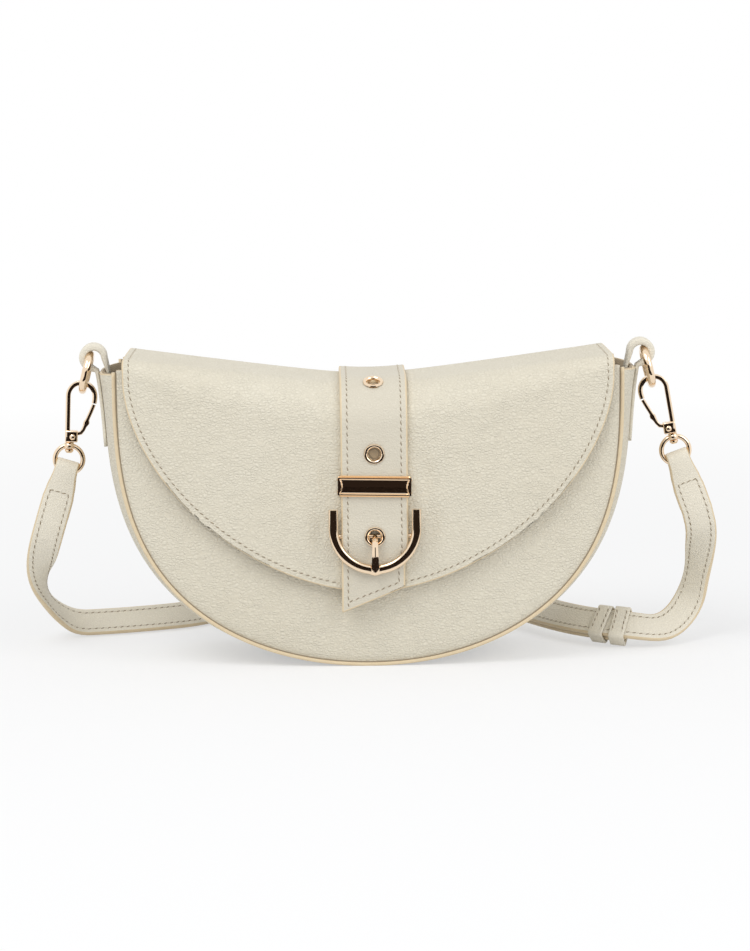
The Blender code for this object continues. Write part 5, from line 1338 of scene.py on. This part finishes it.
class Route:
    """The strap's middle line, measured along its length."""

    def __init__(self):
        low = WIDE / 2 * math.cos(FLOOR_LEAN) + THICK / 2 * math.sin(FLOOR_LEAN) + 0.0001
        first, last = fold_spots(-1)[-1], fold_spots(1)[-1]
        marks = [(first[0] + first[1] * FOLD_END, 0.0)]
        marks += [(Vector((x, y, z)) * SPAN, turn) for x, y, z, turn in LEFT_FALL]
        marks += [(Vector((x * SPAN, y * SPAN, low + LIFT * lift)), 1.0) for x, y, lift in ON_FLOOR]
        marks += [(Vector((x, y, z)) * SPAN, turn) for x, y, z, turn in RIGHT_FALL]
        marks.append((last[0] + last[1] * FOLD_END, 0.0))
        points = [2 * marks[0][0] - marks[1][0]] + [m[0] for m in marks] + [2 * marks[-1][0] - marks[-2][0]]
        turns = [marks[0][1]] + [m[1] for m in marks] + [marks[-1][1]]
        self.points, self.turns = [], []
        for index in range(1, len(points) - 2):
            for step in range(8):
                self.points.append(curve(*points[index - 1 : index + 3], step / 8))
                self.turns.append(mix(turns[index], turns[index + 1], ease(step / 8) * 0.5 + step / 16))
        self.points.append(points[-2])
        self.turns.append(turns[-2])
        for turn in range(60):
            if turn < 24:
                self.points = smoothed(self.points)
            self.turns = smoothed(self.turns)
        self.track = Track(self.points)
        self.length = self.track.length
        self.widths = [self.width_at(index) for index in range(len(self.points))]
        for turn in range(70):
            self.widths = smoothed(self.widths)

    def width_at(self, index):
        """The direction of the strap's width at a mark, from how far it has turned there."""
        turn = self.turns[index]
        ahead, behind = self.points[min(index + 1, len(self.points) - 1)], self.points[max(index - 1, 0)]
        tangent = (ahead - behind).normalized()
        level = Vector((-tangent.y, tangent.x, 0)).normalized()
        upright = Vector((-tangent.z, 0, tangent.x)).normalized() * (1 - turn) + Vector((0, 0, turn))
        back = Vector((0, 1 - turn, 0)) + level * turn
        lean = FLOOR_LEAN * turn
        return upright.normalized() * math.cos(lean) + back.normalized() * math.sin(lean)

    def station(self, distance):
        """Middle, direction, width direction and thickness direction at a distance along the strap."""
        share, step = distance / self.length, 0.0045 / self.length
        tangent = (self.track.at(share + step) - self.track.at(share - step)).normalized()
        marks, index = self.track.marks, 0
        while index < len(marks) - 2 and marks[index + 1] < distance:
            index += 1
        near = clamp((distance - marks[index]) / (marks[index + 1] - marks[index]))
        width = self.widths[index].lerp(self.widths[index + 1], near)
        width = (width - width.dot(tangent) * tangent).normalized()
        return self.track.at(share), tangent, width, width.cross(tangent)


route = Route()
print("strap's way", round(route.length, 4), "m between its folded ends")

# %% [markdown]
# ## The strap's two pieces
# The long piece runs from the left hook to the adjusting buckle and on, over the short piece, to its tail.
# The short piece runs from the right hook to the buckle and is folded back round its bar. Both are one
# section carried from spot to spot, and the faces at its two edges get the edge paint. A curve with a bevel
# could do the same, but it would twist on its own at the turns.


# %% Strap pieces
BUCKLE_AT, BUCKLE_LENGTH, WIRE, TAIL_AT, RUN_START = 0.2350, 0.0170, 0.0011, 0.0955, 0.0045
pivot = route.length - BUCKLE_AT
tip_bar = pivot - BUCKLE_LENGTH
tail = route.length - TAIL_AT
over, fold = THICK + LAYER_GAP, WIRE + PLY_GAP + THICK / 2


def long_offset(distance):
    rise_start, rise_end = tip_bar + WIRE * 1.5, pivot - WIRE * 1.5
    settle = BUCKLE_LENGTH * 2.5
    if distance < rise_start:
        return -2 * fold * ease((distance - tip_bar + settle) / settle)
    return mix(-2 * fold, over, ease((distance - rise_start) / (rise_end - rise_start)))


def settled(middle, across, out, width):
    """Lifts a spot of the strap that would dip into the floor."""
    lowest = middle.z - abs(across.z) * width / 2 - abs(out.z) * THICK / 2
    return middle + Vector((0, 0, max(0.0001 - lowest, 0)))


def strap_spot(middle, across, out, width=WIDE):
    return spot(settled(middle, across, out, width), across, out, width / WIDE, 1.0)


def run(start, end, offset, pitch=0.0028):
    """Spots along the route, moved out of it by offset(distance)."""
    count = max(1, round(abs(end - start) / pitch))
    spots = []
    for step in range(count + 1):
        distance = mix(start, end, step / count)
        middle, _, across, out = route.station(distance)
        spots.append(strap_spot(middle + out * offset(distance), across, out))
    return spots


def fold_as_spots(side):
    spots = []
    for middle, tangent, across, width in fold_spots(side):
        spots.append(strap_spot(middle, across * -side, across.cross(tangent), width))
    return spots


print("the buckle sits", BUCKLE_AT, "m before the right fold")

# %% Long piece
PAINTED_FROM = 0.0065
strap_section = rounded(WIDE, THICK, 0.0012, 4)
long_spots = fold_as_spots(-1) + run(RUN_START, tail, long_offset)
middle, tangent, across, out = route.station(tail)
middle = middle + out * long_offset(tail)
for step in range(1, 8):
    angle = math.pi / 2 * step / 7
    width = WIDE * max(math.cos(angle), 0.12)
    long_spots.append(strap_spot(middle + tangent * WIDE * 0.42 * math.sin(angle), across, out, width))
strap_long = sweep("strap_long_leather", long_spots, strap_section, (smooth, paint), "strap",
                   painted=PAINTED_FROM)
stands_for(strap_long, "smooth_leather", "strap_long")

# %% Short piece, folded round the buckle's bar
short_spots = fold_as_spots(1) + run(route.length - RUN_START, pivot, lambda distance: 0.0)
middle, tangent, across, out = route.station(pivot)
adjuster = Axes(middle, across, -tangent)
if adjuster.b.dot(out) < 0:
    adjuster.a, adjuster.b = -adjuster.a, -adjuster.b
adjuster.origin = middle - adjuster.b * fold
for step in range(1, 12):
    angle = math.pi * step / 12
    place = adjuster.at(0, fold * math.cos(angle), fold * math.sin(angle))
    short_spots.append(strap_spot(place, across, adjuster.b * math.cos(angle) + adjuster.c * math.sin(angle)))
for step in range(9):
    distance = mix(pivot + 0.002, pivot + 0.0243, step / 8)
    middle, _, _, out_here = route.station(distance)
    closing = (2 * fold - THICK - PLY_GAP) * ease(step / 8)
    short_spots.append(strap_spot(middle + out_here * (closing - 2 * fold), across, -out_here))
strap_short = sweep("strap_short_leather", short_spots, strap_section, (smooth, paint), "strap",
                    painted=PAINTED_FROM)
stands_for(strap_short, "smooth_leather", "strap_short")

# %% [markdown]
# ## Adjusting buckle
# The strap's buckle is a plain oblong frame of round wire with its own prong, which lies on the long piece
# and rests on the frame's far side. It hides behind the bag, lying on its side as the strap does. Both are
# carried along a path like the strap itself.

# %% Adjusting buckle
FRAME_ROOM, FRAME_CORNER = 0.0012, 0.0022
half = WIDE / 2 + FRAME_ROOM + WIRE
line = []
for index, (a, c) in enumerate(((-half, 0), (half, 0), (half, BUCKLE_LENGTH), (-half, BUCKLE_LENGTH))):
    bend_a = a - math.copysign(FRAME_CORNER, a)
    bend_c = c + (FRAME_CORNER if c == 0 else -FRAME_CORNER)
    for step in range(6):
        angle = math.pi / 2 * (index - 2 + step / 5)
        arc_a, arc_c = FRAME_CORNER * math.cos(angle), FRAME_CORNER * math.sin(angle)
        line.append(adjuster.at(bend_a + arc_a, 0, bend_c + arc_c))
frame_piece = sweep("strap_buckle_frame_metal", flat_path(line, adjuster.b, wrap=True),
                    rounded(2 * WIRE, 2 * WIRE, WIRE * 0.98, 4), (gold,), "strap", wrap=True)
stands_for(frame_piece, "pale_gold", "strap_buckle_frame")
rest = WIRE * 2 + PLY_GAP
marks = [(0.0, -0.0016), (0.0018, -0.0008), (0.0051, 0.0002), (0.0090, 0.0014), (0.0128, rest),
         (0.0170, rest), (0.0186, rest * 0.96)]
points = [adjuster.at(0, b, c) for c, b in marks]
strap_prong = sweep("strap_buckle_prong_metal", flat_path(points, adjuster.a),
                    rounded(0.0018, 0.0022, 0.0007, 3), (gold,), "strap_prong")
stands_for(strap_prong, "pale_gold", "strap_buckle_prong")

# %% [markdown]
# ## Keepers
# Two leather bands round the strap hold its tail: one is sewn in place, and one slides. Each is a flat band
# bent round both layers with tight corners. We walk round an oblong with rounded corners and carry the band
# along it.


# %% Keepers
def keeper(label, body, distance, gap):
    """A leather band round both layers of the strap."""
    middle, tangent, across, out = route.station(route.length - distance)
    axes = Axes(middle, across, tangent)
    if axes.b.dot(out) < 0:
        axes.a, axes.b = -axes.a, -axes.b
    half, low = WIDE / 2 + gap + KEEPER_THICK / 2, -THICK / 2 - gap - KEEPER_THICK / 2
    high, turn = THICK * 1.5 + LAYER_GAP + gap + KEEPER_THICK / 2, 0.0013
    corners = ((half, high), (-half, high), (-half, low), (half, low))
    line = []
    for index, (a, b) in enumerate(corners):
        bend_a, bend_b = a - math.copysign(turn, a), b - (turn if index < 2 else -turn)
        for step in range(6):
            angle = math.pi / 2 * (index + step / 5)
            line.append(axes.at(bend_a + turn * math.cos(angle), bend_b + turn * math.sin(angle), 0))
        next_a, next_b = corners[(index + 1) % 4]
        for share in (0.33, 0.66):
            line.append(axes.at(mix(a, next_a, share), mix(b, next_b, share), 0))
    made = sweep("strap_keeper_" + label + "_leather", flat_path(line, axes.c, wrap=True),
                 rounded(KEEPER_THICK, 0.0075, 0.0004, 3), (smooth, paint), body, wrap=True)
    stands_for(made, "smooth_leather", "strap_keeper_" + label)
    return axes


KEEPERS = (("fixed", "strap", 0.1050, 0.0003), ("sliding", "strap_keeper", 0.0952, SLIDING_GAP))
keeper_axes = [keeper(*values) for values in KEEPERS]
print("keepers:", len(keeper_axes))

# %% [markdown]
# ## Stitches
# Every leather edge that shows is sewn with one row of thread. A machine stitch is a short raised length of
# thread, and between two of them the needle leaves a slightly slanted hole, drawn as a dark mark of painted
# shade. Each is a tiny ball, stretched and laid on the surface, at a pitch of a little more than three
# millimetres.


# %% Stitch helpers
def on_skin(piece, points):
    """The nearest places on a piece, with the direction out of it."""
    data = piece.data
    skin = BVHTree.FromPolygons([v.co for v in data.vertices], [face.vertices[:] for face in data.polygons])
    found = [skin.find_nearest(point) for point in points]
    return [(place, normal) for place, normal, _, _ in found]


PITCH, SLANT, BATCH = 0.00325, math.radians(14), 30
THREAD_BALL, HOLE_SHADE_BALL = (0.00150, 0.00060, 0.00040, 0.00006), (0.00225, 0.00056, 0.00024, 0.00002)


def stitches(name, rows, body=None, pitch=PITCH):
    """Rows of stitches. A row is a list of places with the direction out of the leather."""
    whole, mesh, scratch = bmesh.new(), bmesh.new(), bpy.data.meshes.new("stitches")
    total = 0
    for row in rows:
        track, outs = Track([place for place, _ in row]), [normal for _, normal in row]
        count = max(round(track.length / pitch), 1)
        for number in range(2 * count):
            share = (number + 0.5) / (2 * count)
            along = track.at(share + 0.002) - track.at(share - 0.002)
            distance = share * track.length
            out = outs[min(range(len(outs)), key=lambda index: abs(track.marks[index] - distance))]
            slanted = Matrix.Rotation(SLANT, 3, out) @ along.normalized()
            # Every other ball is a dark mark of painted shade where the needle went through.
            length, width, height, rise = THREAD_BALL if number % 2 else HOLE_SHADE_BALL
            stand = spot(track.at(share) + out * rise, slanted, out)
            stand = stand @ Matrix.Diagonal((length / 2, height / 2, width / 2, 1))
            ball = bmesh.ops.create_uvsphere(mesh, u_segments=6, v_segments=4, radius=1.0, matrix=stand)
            for face in {face for vert in ball["verts"] for face in vert.link_faces}:
                face.material_index = number % 2
            if number % BATCH == BATCH - 1 or number == 2 * count - 1:
                mesh.to_mesh(scratch)
                whole.from_mesh(scratch)
                mesh.clear()
        total += count
    made = show(name, whole, [painted_shade, thread], body)
    stands_for(made, "smooth_leather")
    print(name, total, "stitches")
    return made


print("stitches every", PITCH, "m")

# %% [markdown]
# ## Rows on the flap and the tab
# A row runs three millimetres inside the flap's curved edge and breaks off at each side of the tab. The tab
# has its own row down both sides and across its slanted end. Each row is drawn on the flat first, and then
# every place of it is dropped on the leather.


# %% Stitches of the flap
def over_the_top(u):
    """The row goes on along the flap's end, over the front roll."""
    return [flap_place(u, mix(FRONT_SHARE, 1, share / 24)) for share in range(1, 13)]


SEAM_IN, END_SHARE = 0.0030, 0.0130
rim_row = over_the_top(END_SHARE)[::-1]
for step in range(241):
    share = step / 240
    along = flap_rim.at(share + 0.003) - flap_rim.at(share - 0.003)
    inside = flap_rim.at(share) + along.cross(Vector((0, 1, 0))).normalized() * SEAM_IN
    if inside.z < flap_top(0).z and abs(inside.x - TAB_MIDDLE) > TAB_WIDTH / 2 + 0.0008:
        rim_row.append(Vector((inside.x, front_y(inside.x, inside.z), inside.z)))
rim_row += over_the_top(1 - END_SHARE)
middle = next(index for index, place in enumerate(rim_row) if place.x > 0)
flap_rows = [on_skin(flap, rim_row[:middle]), on_skin(flap, rim_row[middle:])]
flap_stitches = stitches("flap_stitches", flap_rows)

# %% Stitches of the tab, of the seam at the back and of the pocket's hem
LEFT_ROW, RIGHT_ROW, TOP_END = 0.100, 0.900, TAB_START + 0.06
tab_line = [tab_point(LEFT_ROW, mix(TOP_END, 4.97, step / 150))[0] for step in range(151)]
tab_line += [tab_point(mix(LEFT_ROW, RIGHT_ROW, step / 20), 4.952)[0] for step in range(21)]
tab_line += [tab_point(RIGHT_ROW, mix(4.955, TOP_END, step / 150))[0] for step in range(151)]
tab_stitches = stitches("tab_stitches", [on_skin(tab, tab_line)])
BACK_ROW_HALF = 0.1090
back_line = [Vector((mix(-BACK_ROW_HALF, BACK_ROW_HALF, step / 60), HINGE_Y + 0.001, HINGE_Z + 0.0032))
             for step in range(61)]
stitches("flap_seam_stitches", [on_skin(flap, back_line)], "body")
hem_line = [pocket_place(mix(0.02, 0.98, step / 40), 0.95) for step in range(41)]
pocket_row = [(place - Vector((0, 0.0011, 0)), Vector((0, -1, 0))) for place in hem_line]
stitches("pocket_stitches", [pocket_row], "body")

# %% [markdown]
# ## Rows on the strap
# The strap is sewn near both edges, and the thread shows on both faces. Where its end is folded back and
# sewn down, a short row goes across. The rows use the spots that the strap was swept along, so they follow
# every turn of it.


# %% Stitches of the strap
ROW_IN = 0.0048


def strap_rows(spots, start, end):
    """Four rows: near both edges, on both faces."""
    rows = []
    for face in (1, -1):
        for edge in (1, -1):
            row = []
            for place in spots[start:end]:
                out = place.to_3x3() @ Vector((0, face, 0))
                row.append((place @ Vector((edge * ROW_IN, face * THICK / 2, 0)), out.normalized()))
            rows.append(row)
    return rows


def box_end(place):
    """The row across the strap where its folded end is sewn down, on both faces."""
    rows = []
    for face in (1, -1):
        out = (place.to_3x3() @ Vector((0, face, 0))).normalized()
        across = (-ROW_IN, -0.0016, 0.0016, ROW_IN)
        rows.append([(place @ Vector((a, face * THICK / 2, 0)), out) for a in across])
    return rows


FOLD_SPOTS = 25
for name, spots, end in (("strap_long_stitches", long_spots, -9), ("strap_short_stitches", short_spots, -20)):
    rows = strap_rows(spots, FOLD_SPOTS, end) + box_end(spots[FOLD_SPOTS]) + strap_rows(spots, 0, 3)
    stitches(name, rows, "strap")
for (label, body, _, gap), axes in zip(KEEPERS, keeper_axes):
    high, low = THICK * 1.5 + LAYER_GAP + gap + KEEPER_THICK, -THICK / 2 - gap - KEEPER_THICK
    rows = []
    for level, out in ((high, axes.b), (low, -axes.b)):
        for c in (-0.0024, 0.0024):
            rows.append([(axes.at(a, level, c), out) for a in (-0.0062, -0.002, 0.002, 0.0062)])
    stitches("keeper_" + label + "_stitches", rows, body, pitch=0.0031)

# %% [markdown]
# ## The flap's pieces
# When the flap opens, its back edge stays sewn to the bag, and the leather between bends. Turned as one
# stiff piece it would tear off there. Here each piece on the flap only has its placement written into its
# points.


# %% Placement of the flap's pieces
def bend_with_flap(*pieces):
    for piece in pieces:
        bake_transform(piece)


bend_with_flap(flap, flap_lining, tab, flap_stitches, tab_stitches)
